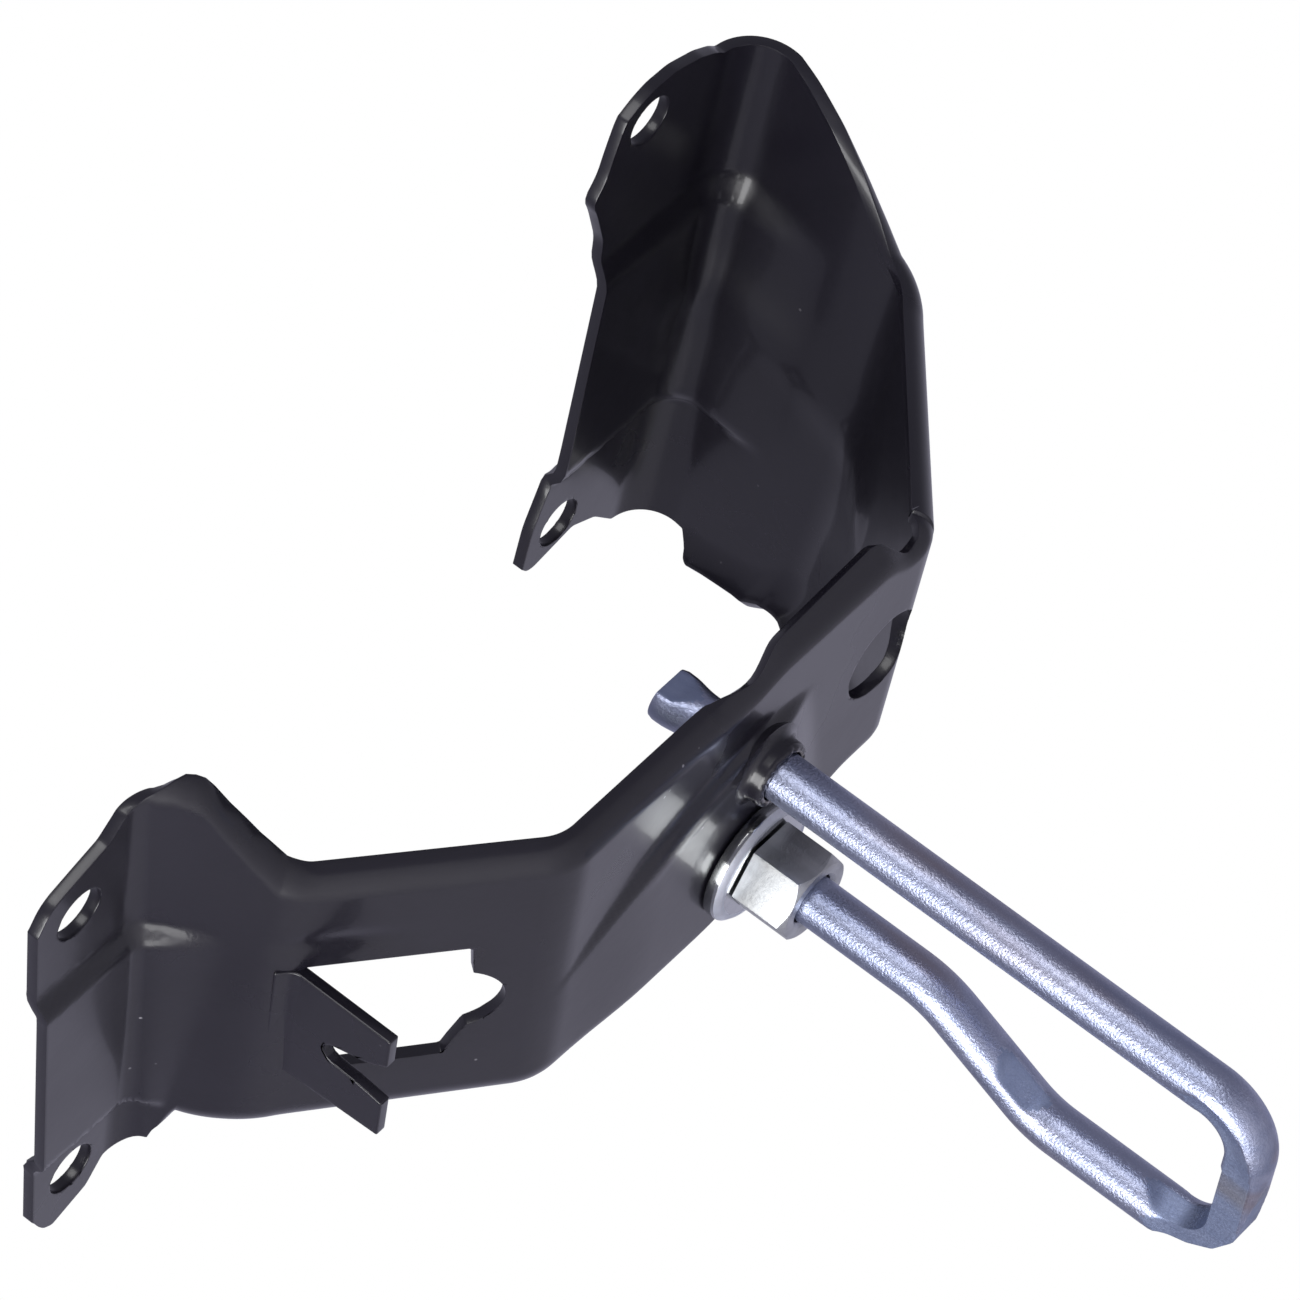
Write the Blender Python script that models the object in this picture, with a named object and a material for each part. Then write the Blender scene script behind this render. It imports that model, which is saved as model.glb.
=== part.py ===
"""Hood latch striker assembly: a stamped hat bracket that carries a bent striker hoop.

Frame: metres, +Z up as on the car. Z = 0 is the plane on which foot A seats
against the hood, the hoop hangs towards -Z, X runs from foot A to foot B and the
origin lies on the centre line of the hoop.
"""

import math

import bmesh
import bpy
from mathutils import Matrix, Vector

MM = 0.001

# Sheet and heights (millimetres, depth is measured down from foot A's seat)
SHEET = 2.0
PANEL_DEPTH = 46.0
FOOT_B_RISE = 28.0
PAD_RAISE = 2.0
SEAT_RAISE = 1.6

# Widths along x of the eight facets at y = 0, and the heights of the side bends
PANEL_LEFT = 45.0
PANEL_W = 81.8
SLOPE_A_W = 35.1
WALL_A_W = 9.2
FOOT_A_W = 20.1
SLOPE_B_W = 36.6
WALL_B_W = 5.8
FOOT_B_W = 33.0
BEND_A1_DEPTH = 18.8
BEND_B4_DEPTH = 12.9
# How far each bend leans in x for one unit of y
LEAN_FREE_A = 0.064
LEAN_A0 = 0.055
LEAN_A1 = -0.124
LEAN_A1_DEPTH = -0.066
LEAN_B3 = -0.09
LEAN_B4 = -0.078
LEAN_B4_DEPTH = -0.07
LEAN_B5 = -0.085
LEAN_FREE_B = -0.11
# Outer bend radii
R_A0 = 5.0
R_A1 = 22.0
R_A2 = 12.0
R_B3 = 7.0
R_B4 = 14.0
R_B5 = 6.0

# Rolled edges of the channel
EDGE_TOP_Y = -30.5
EDGE_LOW_Y = 29.6
LIP_R = 4.6
LOW_LIP_R = 6.0
SEAT_LIP_R = 3.0
FLANGE_B_R = 8.7
NOTCH_Y = -36.8

# Feet
FOOT_A_TOP_Y = -47.2
FOOT_A_LOW_Y = 48.3
FOOT_B_TOP_Y = -57.8
FOOT_B_LOW_Y = 47.5
FLANK_B_LOW_Y = 50.0
FLANGE_B_Y = 59.0
FOOT_HOLE_D = 9.0
HOLE_A_TOP_INSET = (6.8, 15.5)
HOLE_A_LOW_INSET = (10.6, 11.6)
HOLE_B_TOP_INSET = (9.3, 7.3)
HOLE_B_LOW_INSET = (2.3, 6.8)
STEP_A_TOP_Y = -16.2
STEP_A_LOW_Y = 27.0
STEP_B_TOP_Y = -21.0
STEP_B_LOW_Y = 26.0
STEP_W = 3.4

# Striker hoop
ROD_D = 8.0
LEG_SPACING = 22.0
BOW_OFFSET = 11.2
BOW_START_DEPTH = 84.0
BOW_END_DEPTH = 106.0
CROSSBAR_DEPTH = 140.0
CORNER_R = 8.5
TIP_DEPTH = 28.6
CRIMP_LENGTH = 7.0
CRIMP_W = 9.4
CRIMP_T = 6.0
BAR_T = 5.8
FLAT_CUT = 1.2
BOW_FLAT = (100.0, 112.0)
CORNER_FLAT_LENGTH = 9.0
THREAD_END_DEPTH = 33.0

# Clamp pieces on the threaded leg
RUN_GAP = 0.3
NECK_WALL = 1.25
NECK_HEIGHT = 3.4
WASHER_OD = 22.0
WASHER_T = 2.8
NUT_AF = 14.0
NUT_H = 9.6
NUT_CHAMFER = 1.0
REAR_NUT_H = 6.5
REAR_FLANGE_OD = 18.0
REAR_FLANGE_T = 1.8

# Lightening and access holes
PANEL_HOLE_D = 16.0
PANEL_HOLE_INSET = 6.0
PANEL_HOLE_Y = -7.4
WINDOW_TOP_Y = -10.6
WINDOW_LOW_Y = 15.0
WINDOW_INSET = 4.7
WINDOW_W = 20.0
LOBE_REACH = 6.0
LOBE_R = 7.4
TAB_TIP_DEPTH = 39.8
TAB_R = 2.4
TAB_TIP_INSET = 1.2
TAB_NOTCH = (
    (-4.1, 0.0), (-1.6, 3.9), (0.6, 10.4), (1.3, 11.3), (2.4, 11.6), (3.5, 11.0),
    (4.2, 9.6), (4.5, 5.8), (5.3, 0.0))

BEND_A2_X = -PANEL_LEFT
BEND_A1_X = BEND_A2_X - SLOPE_A_W
BEND_A0_X = BEND_A1_X - WALL_A_W
FREE_A_X = BEND_A0_X - FOOT_A_W
BEND_B3_X = PANEL_W - PANEL_LEFT
BEND_B4_X = BEND_B3_X + SLOPE_B_W
BEND_B5_X = BEND_B4_X + WALL_B_W
FREE_B_X = BEND_B5_X - FOOT_B_W
HOLE_A_TOP = (FREE_A_X + HOLE_A_TOP_INSET[0], FOOT_A_TOP_Y + HOLE_A_TOP_INSET[1])
HOLE_A_LOW = (FREE_A_X + HOLE_A_LOW_INSET[0], FOOT_A_LOW_Y - HOLE_A_LOW_INSET[1])
HOLE_B_TOP = (FREE_B_X + HOLE_B_TOP_INSET[0], FOOT_B_TOP_Y + HOLE_B_TOP_INSET[1])
HOLE_B_LOW = (FREE_B_X + HOLE_B_LOW_INSET[0], FOOT_B_LOW_Y - HOLE_B_LOW_INSET[1])
UPPER_Y = -LEG_SPACING / 2.0
LOWER_Y = LEG_SPACING / 2.0
ROD_R = ROD_D / 2.0
BORE_R = ROD_R + RUN_GAP
SEAT_DEPTH = PANEL_DEPTH + SEAT_RAISE
PANEL_HOLE = (BEND_B3_X - PANEL_HOLE_INSET, PANEL_HOLE_Y)
WINDOW_X0 = BEND_A1_X + WINDOW_INSET
WINDOW_X1 = WINDOW_X0 + WINDOW_W
LOBE_X = WINDOW_X1 + LOBE_REACH - LOBE_R


# Scene helpers

def clear_scene():
    for item in list(bpy.data.objects):
        bpy.data.objects.remove(item, do_unlink=True)


def material(name, colour, roughness, metallic):
    mat = bpy.data.materials.new(name)
    mat.use_nodes = True
    shader = mat.node_tree.nodes["Principled BSDF"]
    shader.inputs["Base Color"].default_value = (*colour, 1.0)
    shader.inputs["Roughness"].default_value = roughness
    shader.inputs["Metallic"].default_value = metallic
    mat.diffuse_color = (*colour, 1.0)
    return mat


def link(name, bm, mat=None, smooth_angle=35.0):
    mesh = bpy.data.meshes.new(name)
    bmesh.ops.recalc_face_normals(bm, faces=bm.faces)
    bm.to_mesh(mesh)
    bm.free()
    mesh.shade_smooth()
    mesh.set_sharp_from_angle(angle=math.radians(smooth_angle))
    obj = bpy.data.objects.new(name, mesh)
    bpy.context.scene.collection.objects.link(obj)
    if mat is not None:
        mesh.materials.append(mat)
    return obj


def as_cutter(obj):
    obj.hide_render = True
    obj.display_type = "WIRE"
    return obj


def boolean(target, cutter, operation):
    mod = target.modifiers.new(cutter.name, "BOOLEAN")
    mod.operation = operation
    mod.solver = "EXACT"
    mod.object = as_cutter(cutter)


def smooth(edge0, edge1, value):
    t = min(1.0, max(0.0, (value - edge0) / (edge1 - edge0)))
    return t * t * (3.0 - 2.0 * t)


def mix(a, b, t):
    return a + (b - a) * t


# Round and prismatic solids along Z

def revolve(name, profile, centre, segments, mat=None):
    """Closed ring of (radius, depth) points turned about a vertical axis."""
    bm = bmesh.new()
    rings = []
    for k in range(segments):
        a = 2.0 * math.pi * k / segments
        ring = []
        for radius, depth in profile:
            p = Vector((radius * math.cos(a), radius * math.sin(a), -depth)) * MM
            ring.append(bm.verts.new(p))
        rings.append(ring)
    count = len(profile)
    for k in range(segments):
        here = rings[k]
        there = rings[(k + 1) % segments]
        for j in range(count):
            i = (j + 1) % count
            bm.faces.new((here[j], here[i], there[i], there[j]))
    obj = link(name, bm, mat)
    obj.location = (centre[0] * MM, centre[1] * MM, 0.0)
    return obj


def drum(name, radius, depth0, depth1, centre, segments=32):
    bm = bmesh.new()
    bmesh.ops.create_cone(
        bm, cap_ends=True, segments=segments, radius1=radius * MM, radius2=radius * MM,
        depth=(depth1 - depth0) * MM)
    obj = link(name, bm)
    obj.location = (centre[0] * MM, centre[1] * MM, -(depth0 + depth1) * 0.5 * MM)
    return obj


def prism_x(name, outline, x0, x1):
    """Outline of (y, depth) points carried from x0 to x1."""
    bm = bmesh.new()
    loops = []
    for x in (x0, x1):
        loops.append([bm.verts.new(Vector((x, y, -d)) * MM) for y, d in outline])
    bm.faces.new(loops[0])
    bm.faces.new(list(reversed(loops[1])))
    for j in range(len(outline)):
        i = (j + 1) % len(outline)
        bm.faces.new((loops[0][j], loops[0][i], loops[1][i], loops[1][j]))
    return link(name, bm)


# Stamped bracket

def fold_points():
    """Outer-face fold points: x, depth, lean of x, lean of depth, bend radius."""
    foot_a = SHEET
    foot_b = -FOOT_B_RISE
    return [
        (FREE_A_X, foot_a, LEAN_FREE_A, 0.0, 0.0),
        (BEND_A0_X, foot_a, LEAN_A0, 0.0, R_A0),
        (BEND_A1_X, BEND_A1_DEPTH, LEAN_A1, LEAN_A1_DEPTH, R_A1),
        (BEND_A2_X, PANEL_DEPTH, 0.0, 0.0, R_A2),
        (BEND_B3_X, PANEL_DEPTH, LEAN_B3, 0.0, R_B3),
        (BEND_B4_X, BEND_B4_DEPTH, LEAN_B4, LEAN_B4_DEPTH, R_B4),
        (BEND_B5_X, foot_b, LEAN_B5, 0.0, R_B5),
        (FREE_B_X, foot_b, LEAN_FREE_B, 0.0, 0.0),
    ]


def profile_at(y, spans, arcs):
    """Polyline of the outer face in the plane y: positions and outward normals."""
    corners = []
    for x, depth, lean_x, lean_d, radius in fold_points():
        corners.append((Vector((x + lean_x * y, depth + lean_d * y)), radius))
    points = []
    for i, (corner, radius) in enumerate(corners):
        if i == 0 or i == len(corners) - 1:
            points.append([corner])
            continue
        before = (corner - corners[i - 1][0]).normalized()
        after = (corners[i + 1][0] - corner).normalized()
        turn = before.angle(after)
        back = radius * math.tan(turn / 2.0)
        start = corner - before * back
        side = 1.0 if before.x * after.y - before.y * after.x > 0.0 else -1.0
        centre = start + Vector((-before.y, before.x)) * radius * side
        arm = start - centre
        arc = []
        for k in range(arcs[i] + 1):
            a = side * turn * k / arcs[i]
            ca, sa = math.cos(a), math.sin(a)
            arc.append(centre + Vector((arm.x * ca - arm.y * sa, arm.x * sa + arm.y * ca)))
        points.append(arc)
    line = []
    for i, group in enumerate(points):
        if i > 0:
            first = points[i - 1][-1]
            last = group[0]
            for t in spans[i - 1]:
                line.append(first.lerp(last, t))
        line.extend(group)
    normals = []
    for k, p in enumerate(line):
        a = line[max(k - 1, 0)]
        b = line[min(k + 1, len(line) - 1)]
        t = (b - a).normalized()
        normals.append(Vector((-t.y, t.x)))
    return line, normals


SPANS = [
    (0.03, 0.09, 0.18, 0.30, 0.48, 0.70),
    (0.5,),
    (0.12, 0.30, 0.55, 0.80),
    (0.12, 0.24, 0.36, 0.46, 0.53, 0.58, 0.64, 0.74, 0.86, 0.93),
    (0.15, 0.4, 0.7),
    (0.2, 0.4, 0.6, 0.72, 0.80, 0.90),
    (0.12, 0.25, 0.40, 0.55, 0.70, 0.82, 0.91, 0.97),
]
ARCS = [0, 4, 6, 4, 4, 4, 4, 0]


def station_labels():
    """Segment number plus the share of the way along it, for each station."""
    labels = [0.0]
    for i, span in enumerate(SPANS):
        for t in span:
            labels.append(i + 0.06 + 0.88 * t)
        n = ARCS[i + 1]
        for k in range(n + 1):
            labels.append(i + 1 + (0.12 * (k / n - 0.5) if n else 0.0))
    return labels


def table(rows, value):
    """Straight-line reading of (position, value) rows."""
    if value <= rows[0][0]:
        return rows[0][1]
    for (a, va), (b, vb) in zip(rows, rows[1:]):
        if value <= b:
            return mix(va, vb, (value - a) / (b - a))
    return rows[-1][1]


def edge_rows():
    """Edge lines of the blank as read along the stations."""
    top = [
        (0.0, FOOT_A_TOP_Y + 12.7), (0.09, FOOT_A_TOP_Y + 9.8), (0.14, FOOT_A_TOP_Y + 8.8),
        (0.22, FOOT_A_TOP_Y + 7.8), (0.48, FOOT_A_TOP_Y + 6.0), (0.75, FOOT_A_TOP_Y + 4.2),
        (0.94, FOOT_A_TOP_Y + 0.8), (1.05, FOOT_A_TOP_Y - 2.0), (1.2, FOOT_A_TOP_Y - 3.6),
        (1.35, FOOT_A_TOP_Y - 2.0), (1.5, EDGE_TOP_Y - 12.8), (1.72, EDGE_TOP_Y - 6.4),
        (1.94, EDGE_TOP_Y - 1.4), (2.04, EDGE_TOP_Y),
        (4.95, EDGE_TOP_Y - 0.8), (5.03, EDGE_TOP_Y - 2.6), (5.19, EDGE_TOP_Y - 6.8),
        (5.39, EDGE_TOP_Y - 11.6), (5.59, FOOT_B_TOP_Y + 11.6), (5.81, FOOT_B_TOP_Y + 8.4),
        (6.06, FOOT_B_TOP_Y + 6.0), (6.16, FOOT_B_TOP_Y + 4.2), (6.35, FOOT_B_TOP_Y + 2.0),
        (6.64, FOOT_B_TOP_Y), (6.82, FOOT_B_TOP_Y), (6.92, FOOT_B_TOP_Y + 1.0),
        (7.0, FOOT_B_TOP_Y + 2.8),
    ]
    low = [
        (0.0, FOOT_A_LOW_Y - 5.8), (0.09, FOOT_A_LOW_Y - 2.7), (0.16, FOOT_A_LOW_Y - 1.1),
        (0.28, FOOT_A_LOW_Y), (0.74, FOOT_A_LOW_Y - 2.8), (0.97, FOOT_A_LOW_Y - 7.8),
        (1.04, FOOT_A_LOW_Y - 11.6), (1.6, EDGE_LOW_Y + 3.6), (2.0, EDGE_LOW_Y),
        (3.28, EDGE_LOW_Y), (3.5, EDGE_LOW_Y - 4.6), (3.86, EDGE_LOW_Y - 10.6),
        (4.0, EDGE_LOW_Y - 9.6), (4.12, EDGE_LOW_Y - 1.6),
        (4.95, FLANK_B_LOW_Y), (5.19, FLANK_B_LOW_Y + 5.0), (5.59, FLANGE_B_Y - 1.2),
        (5.72, FLANGE_B_Y), (5.78, FLANGE_B_Y - 0.6),
        (5.83, FLANGE_B_Y - 2.6), (5.88, FOOT_B_LOW_Y + 7.1), (5.96, FOOT_B_LOW_Y + 7.0),
        (6.06, FOOT_B_LOW_Y + 6.5), (6.29, FOOT_B_LOW_Y + 1.0), (6.54, FOOT_B_LOW_Y - 2.0),
        (6.88, FOOT_B_LOW_Y), (6.95, FOOT_B_LOW_Y - 0.6), (7.0, FOOT_B_LOW_Y - 2.3),
    ]
    return top, low


def lip_rows():
    """Roll angle and straight length of both edges along the stations."""
    top_roll = [
        (0.97, 0.0), (1.25, 80.0), (2.0, 84.0), (3.42, 84.0), (3.52, 14.0), (3.90, 12.0),
        (4.05, 84.0), (5.0, 84.0), (5.95, 10.0), (6.0, 0.0),
    ]
    top_run = [(3.42, 0.2), (3.47, 3.0), (3.52, 6.6), (3.57, 9.0), (3.90, 9.4), (4.05, 0.2)]
    low_roll = [
        (1.6, 0.0), (2.1, 78.0), (4.0, 78.0), (4.95, 42.0), (5.3, 54.0), (5.75, 50.0), (5.81, 36.0),
        (5.90, 0.0),
    ]
    low_radius = [
        (3.2, LOW_LIP_R), (3.38, SEAT_LIP_R), (3.72, SEAT_LIP_R), (4.0, LOW_LIP_R),
        (4.95, FLANGE_B_R * 1.75), (5.3, FLANGE_B_R),
    ]
    return top_roll, top_run, low_roll, low_radius


ROW_SHARES = (
    0.0, 0.09, 0.18, 0.27, 0.33, 0.355, 0.38, 0.405, 0.44, 0.50, 0.56, 0.62,
    0.68, 0.74, 0.775, 0.80, 0.825, 0.86, 0.93, 1.0)
ROLL_STEPS = 4


def section(label, shares):
    """Flat y values and rolled edge offsets of one cross-section."""
    top_rows, low_rows = edge_rows()
    top_roll, top_run, low_roll, low_radius = lip_rows()
    low_r = table(low_radius, label)
    roll_t = math.radians(table(top_roll, label))
    roll_l = math.radians(table(low_roll, label))
    run_t = table(top_run, label) * (roll_t > 0.001)
    edge_t = table(top_rows, label)
    edge_l = table(low_rows, label)
    if roll_t > 0.001 and 3.41 < label < 4.05:
        flat_t = EDGE_TOP_Y + LIP_R
    else:
        flat_t = edge_t + LIP_R * math.sin(roll_t)
    flat_l = edge_l - low_r * math.sin(roll_l)
    rows = []
    if run_t > 0.3:
        y = flat_t - LIP_R * math.sin(roll_t) - run_t * math.cos(roll_t)
        d = LIP_R * (1.0 - math.cos(roll_t)) + run_t * math.sin(roll_t)
        rows.append((y, d, roll_t, -1.0))
    else:
        a = roll_t * 1.0001
        rows.append((flat_t - LIP_R * math.sin(a) - 0.05, LIP_R * (1.0 - math.cos(a)), a, -1.0))
    for k in range(ROLL_STEPS, 0, -1):
        a = roll_t * k / ROLL_STEPS
        pad = 0.04 * k if roll_t < 0.05 else 0.0
        rows.append((flat_t - LIP_R * math.sin(a) - pad * 0.2, LIP_R * (1.0 - math.cos(a)), a, -1.0))
    for share in shares:
        rows.append((mix(flat_t, flat_l, share), 0.0, 0.0, 1.0))
    for k in range(1, ROLL_STEPS + 1):
        a = roll_l * k / ROLL_STEPS
        pad = 0.01 * k if roll_l < 0.05 else 0.0
        rows.append((flat_l + low_r * math.sin(a) + pad, low_r * (1.0 - math.cos(a)), a, 1.0))
    return rows


def raise_at(label, x, y):
    """Outward emboss of the feet's middle zones and of the seat round the legs."""
    h = 0.0
    if label < 2.0:
        zone = smooth(STEP_A_TOP_Y - STEP_W / 2, STEP_A_TOP_Y + STEP_W / 2, y)
        zone *= 1.0 - smooth(STEP_A_LOW_Y - 1.2, STEP_A_LOW_Y + 1.2, y)
        h = PAD_RAISE * zone * (1.0 - smooth(1.0, 1.75, label))
    elif label > 5.2:
        zone = smooth(STEP_B_TOP_Y - STEP_W, STEP_B_TOP_Y + STEP_W, y)
        zone *= 1.0 - smooth(STEP_B_LOW_Y - 1.4, STEP_B_LOW_Y + 1.4, y)
        h = -PAD_RAISE * zone * smooth(5.4, 5.95, label)
    elif 2.9 < label < 4.0:
        zone = smooth(-39.0, -20.0, x) * (1.0 - smooth(13.5, 18.5, x))
        zone *= smooth(UPPER_Y - 9.5, UPPER_Y - 6.4, y)
        zone *= 1.0 - smooth(LOWER_Y + 11.6, LOWER_Y + 16.0, y)
        h = SEAT_RAISE * zone
    return h


def free_edge_shift(label, y):
    """Ear at the upper corner of foot B's free edge and the wider lower pad."""
    ear = [
        (-58.0, -1.5), (-54.5, -3.3), (-49.0, -4.3), (-44.0, -4.9), (-40.5, -7.0),
        (-37.0, -5.0), (-28.5, -1.2), (-20.0, 0.0), (20.0, 1.6), (27.0, 1.6), (37.0, -0.8), (46.0, -1.0),
    ]
    return table(ear, y) * smooth(6.55, 7.0, label)


def build_bracket(mat):
    labels = station_labels()
    sections = [section(label, ROW_SHARES) for label in labels]
    cache = {}

    def face_point(k, y):
        key = round(y, 5)
        if key not in cache:
            cache[key] = profile_at(y, SPANS, ARCS)
        line, normals = cache[key]
        return line[k], normals[k]

    bm = bmesh.new()
    outer = []
    inner = []
    for k, label in enumerate(labels):
        row_o = []
        row_i = []
        for y, drop, roll, side in sections[k]:
            p, n = face_point(k, y)
            out = Vector((n.x, 0.0, -n.y))
            base = Vector((p.x + free_edge_shift(label, y), y, -p.y))
            lift = raise_at(label, p.x, y)
            tilt = Vector((0.0, side * math.sin(roll), 0.0)) + out * math.cos(roll)
            o = base + out * (lift - drop)
            row_o.append(bm.verts.new(o * MM))
            row_i.append(bm.verts.new((o - tilt * SHEET) * MM))
        outer.append(row_o)
        inner.append(row_i)
    rows = len(outer[0])
    for k in range(len(labels) - 1):
        for j in range(rows - 1):
            bm.faces.new((outer[k][j], outer[k][j + 1], outer[k + 1][j + 1], outer[k + 1][j]))
            bm.faces.new((inner[k][j], inner[k + 1][j], inner[k + 1][j + 1], inner[k][j + 1]))
        for j in (0, rows - 1):
            bm.faces.new((outer[k][j], outer[k + 1][j], inner[k + 1][j], inner[k][j]))
    for k in (0, len(labels) - 1):
        for j in range(rows - 1):
            bm.faces.new((outer[k][j], outer[k][j + 1], inner[k][j + 1], inner[k][j]))
    bracket = link("bracket", bm, mat, 40.0)

    neck_r = BORE_R + NECK_WALL
    neck = drum("neck_blank", neck_r, SEAT_DEPTH - SHEET * 0.6, SEAT_DEPTH + NECK_HEIGHT, (0.0, UPPER_Y), 32)
    boolean(bracket, neck, "UNION")
    boolean(bracket, build_window(), "DIFFERENCE")
    boolean(bracket, build_tab(), "UNION")
    cuts = [
        drum("neck_bore", BORE_R, 30.0, 60.0, (0.0, UPPER_Y)),
        drum("thread_bore", BORE_R + 0.2, 30.0, 60.0, (0.0, LOWER_Y)),
        drum("panel_hole", PANEL_HOLE_D / 2, 30.0, 60.0, PANEL_HOLE, 36),
        drum("hole_a_top", FOOT_HOLE_D / 2, -6.0, 8.0, HOLE_A_TOP, 28),
        drum("hole_a_low", FOOT_HOLE_D / 2, -6.0, 8.0, HOLE_A_LOW, 28),
        drum("hole_b_top", FOOT_HOLE_D / 2, -34.0, -20.0, HOLE_B_TOP, 28),
        drum("hole_b_low", FOOT_HOLE_D / 2, -34.0, -20.0, HOLE_B_LOW, 28),
    ]
    for cut in cuts:
        boolean(bracket, cut, "DIFFERENCE")
    return bracket


def slope_frame():
    """Point on the outer face of the slanted flank and its unit direction."""
    a = Vector((BEND_A1_X, BEND_A1_DEPTH))
    b = Vector((BEND_A2_X, PANEL_DEPTH))
    along = (b - a).normalized()
    return a, along


def build_window():
    """Cut-out of the slanted flank: a box with a round lobe, cut square to the sheet."""
    a, along = slope_frame()
    mid_y = (WINDOW_TOP_Y + WINDOW_LOW_Y) / 2.0
    lobe_y = mid_y - 0.1
    half = math.asin(min(0.98, (WINDOW_X1 - LOBE_X + 0.6) / LOBE_R))
    outline = [(WINDOW_X0, WINDOW_TOP_Y), (WINDOW_X1, WINDOW_TOP_Y)]
    for k in range(15):
        ang = -math.pi / 2 + half + (math.pi - 2 * half) * k / 14
        outline.append((LOBE_X + LOBE_R * math.cos(ang) / 1.0, lobe_y + LOBE_R * math.sin(ang)))
    outline += [(WINDOW_X1 - 1.4, WINDOW_LOW_Y), (WINDOW_X0, WINDOW_LOW_Y)]
    bm = bmesh.new()
    normal = Vector((-along.y, along.x))
    loops = []
    for reach in (-6.0, 6.0):
        ring = []
        for x, y in outline:
            s = (x - a.x) / along.x
            p = a + along * s + normal * reach
            ring.append(bm.verts.new(Vector((p.x, y, -p.y)) * MM))
        loops.append(ring)
    bm.faces.new(loops[0])
    bm.faces.new(list(reversed(loops[1])))
    n = len(outline)
    for j in range(n):
        i = (j + 1) % n
        bm.faces.new((loops[0][j], loops[0][i], loops[1][i], loops[1][j]))
    return link("window_cut", bm)


def build_tab():
    """Forked tab lanced from the window's edge and bent square to the panel."""
    a, along = slope_frame()
    root_y0 = WINDOW_TOP_Y + 0.4
    root_y1 = WINDOW_LOW_Y - 0.6
    s = (WINDOW_X0 - a.x) / along.x
    root = a + along * s
    back = along * -2.4
    start = root + back
    half_t = SHEET / 2.0
    slope_n = Vector((-along.y, along.x))
    path = []
    turn = math.pi / 2 - math.atan2(along.y, along.x)
    centre = start + slope_n * TAB_R
    for k in range(5):
        ang = turn * k / 4
        ca, sa = math.cos(ang), math.sin(ang)
        arm = Vector((-slope_n.x, -slope_n.y))
        d = Vector((arm.x * ca - arm.y * sa, arm.x * sa + arm.y * ca))
        path.append((centre + d * (TAB_R + half_t), -d))
    end_mid, end_n = path[-1]
    stations = []
    for p, n in path:
        stations.append((p, n, root_y0, root_y1))
    for share in (0.35, 0.7, 1.0):
        p = Vector((end_mid.x, mix(end_mid.y, TAB_TIP_DEPTH, share)))
        stations.append((p, end_n, root_y0, root_y1 - TAB_TIP_INSET * share))
    bm = bmesh.new()
    rings = []
    for p, n, y0, y1 in stations:
        ring = []
        for side, y in ((1, y0), (-1, y0), (-1, y1), (1, y1)):
            q = p + n * (half_t * side)
            ring.append(bm.verts.new(Vector((q.x, y, -q.y)) * MM))
        rings.append(ring)
    bm.faces.new(rings[0])
    bm.faces.new(list(reversed(rings[-1])))
    for r0, r1 in zip(rings, rings[1:]):
        for j in range(4):
            i = (j + 1) % 4
            bm.faces.new((r0[j], r0[i], r1[i], r1[j]))
    tab = link("tab_blank", bm)
    notch = [(y, TAB_TIP_DEPTH - d) for y, d in TAB_NOTCH]
    notch.append((TAB_NOTCH[-1][0] + 0.8, TAB_TIP_DEPTH + 3.0))
    notch.append((TAB_NOTCH[0][0] - 0.8, TAB_TIP_DEPTH + 3.0))
    boolean(tab, prism_x("tab_notch_cut", notch, end_mid.x - 5.0, end_mid.x + 5.0), "DIFFERENCE")
    return tab


# Striker hoop

def hoop_path():
    """Centre line (y, depth) with rounded corners, from the crimped tip to the thread end."""
    bow_y = LOWER_Y + BOW_OFFSET
    corners = [
        (UPPER_Y, TIP_DEPTH, 0.0),
        (UPPER_Y, CROSSBAR_DEPTH, CORNER_R),
        (bow_y, CROSSBAR_DEPTH, CORNER_R),
        (bow_y, BOW_END_DEPTH, 16.0),
        (LOWER_Y, BOW_START_DEPTH, 18.0),
        (LOWER_Y, THREAD_END_DEPTH, 0.0),
    ]
    pts = []
    for i, (y, d, r) in enumerate(corners):
        c = Vector((y, d))
        if r == 0.0:
            pts.append(c)
            continue
        a = (Vector(corners[i - 1][:2]) - c).normalized()
        b = (Vector(corners[i + 1][:2]) - c).normalized()
        opening = a.angle(b)
        back = r / math.tan(opening / 2.0)
        centre = c + (a + b).normalized() * (r / math.sin(opening / 2.0))
        start = c + a * back - centre
        stop = c + b * back - centre
        sweep = start.angle(stop)
        side = 1.0 if start.x * stop.y - start.y * stop.x > 0.0 else -1.0
        steps = max(4, int(math.degrees(sweep) / 11.0))
        for k in range(steps + 1):
            ang = side * sweep * k / steps
            ca, sa = math.cos(ang), math.sin(ang)
            pts.append(centre + Vector((start.x * ca - start.y * sa, start.x * sa + start.y * ca)))
    dense = [pts[0]]
    for a, b in zip(pts, pts[1:]):
        steps = 1
        if b.y > BOW_END_DEPTH - 12.0 and a.y > BOW_END_DEPTH - 12.0:
            steps = max(1, round((b - a).length / 3.0))
        for k in range(1, steps + 1):
            dense.append(a.lerp(b, k / steps))
    return dense


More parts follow.
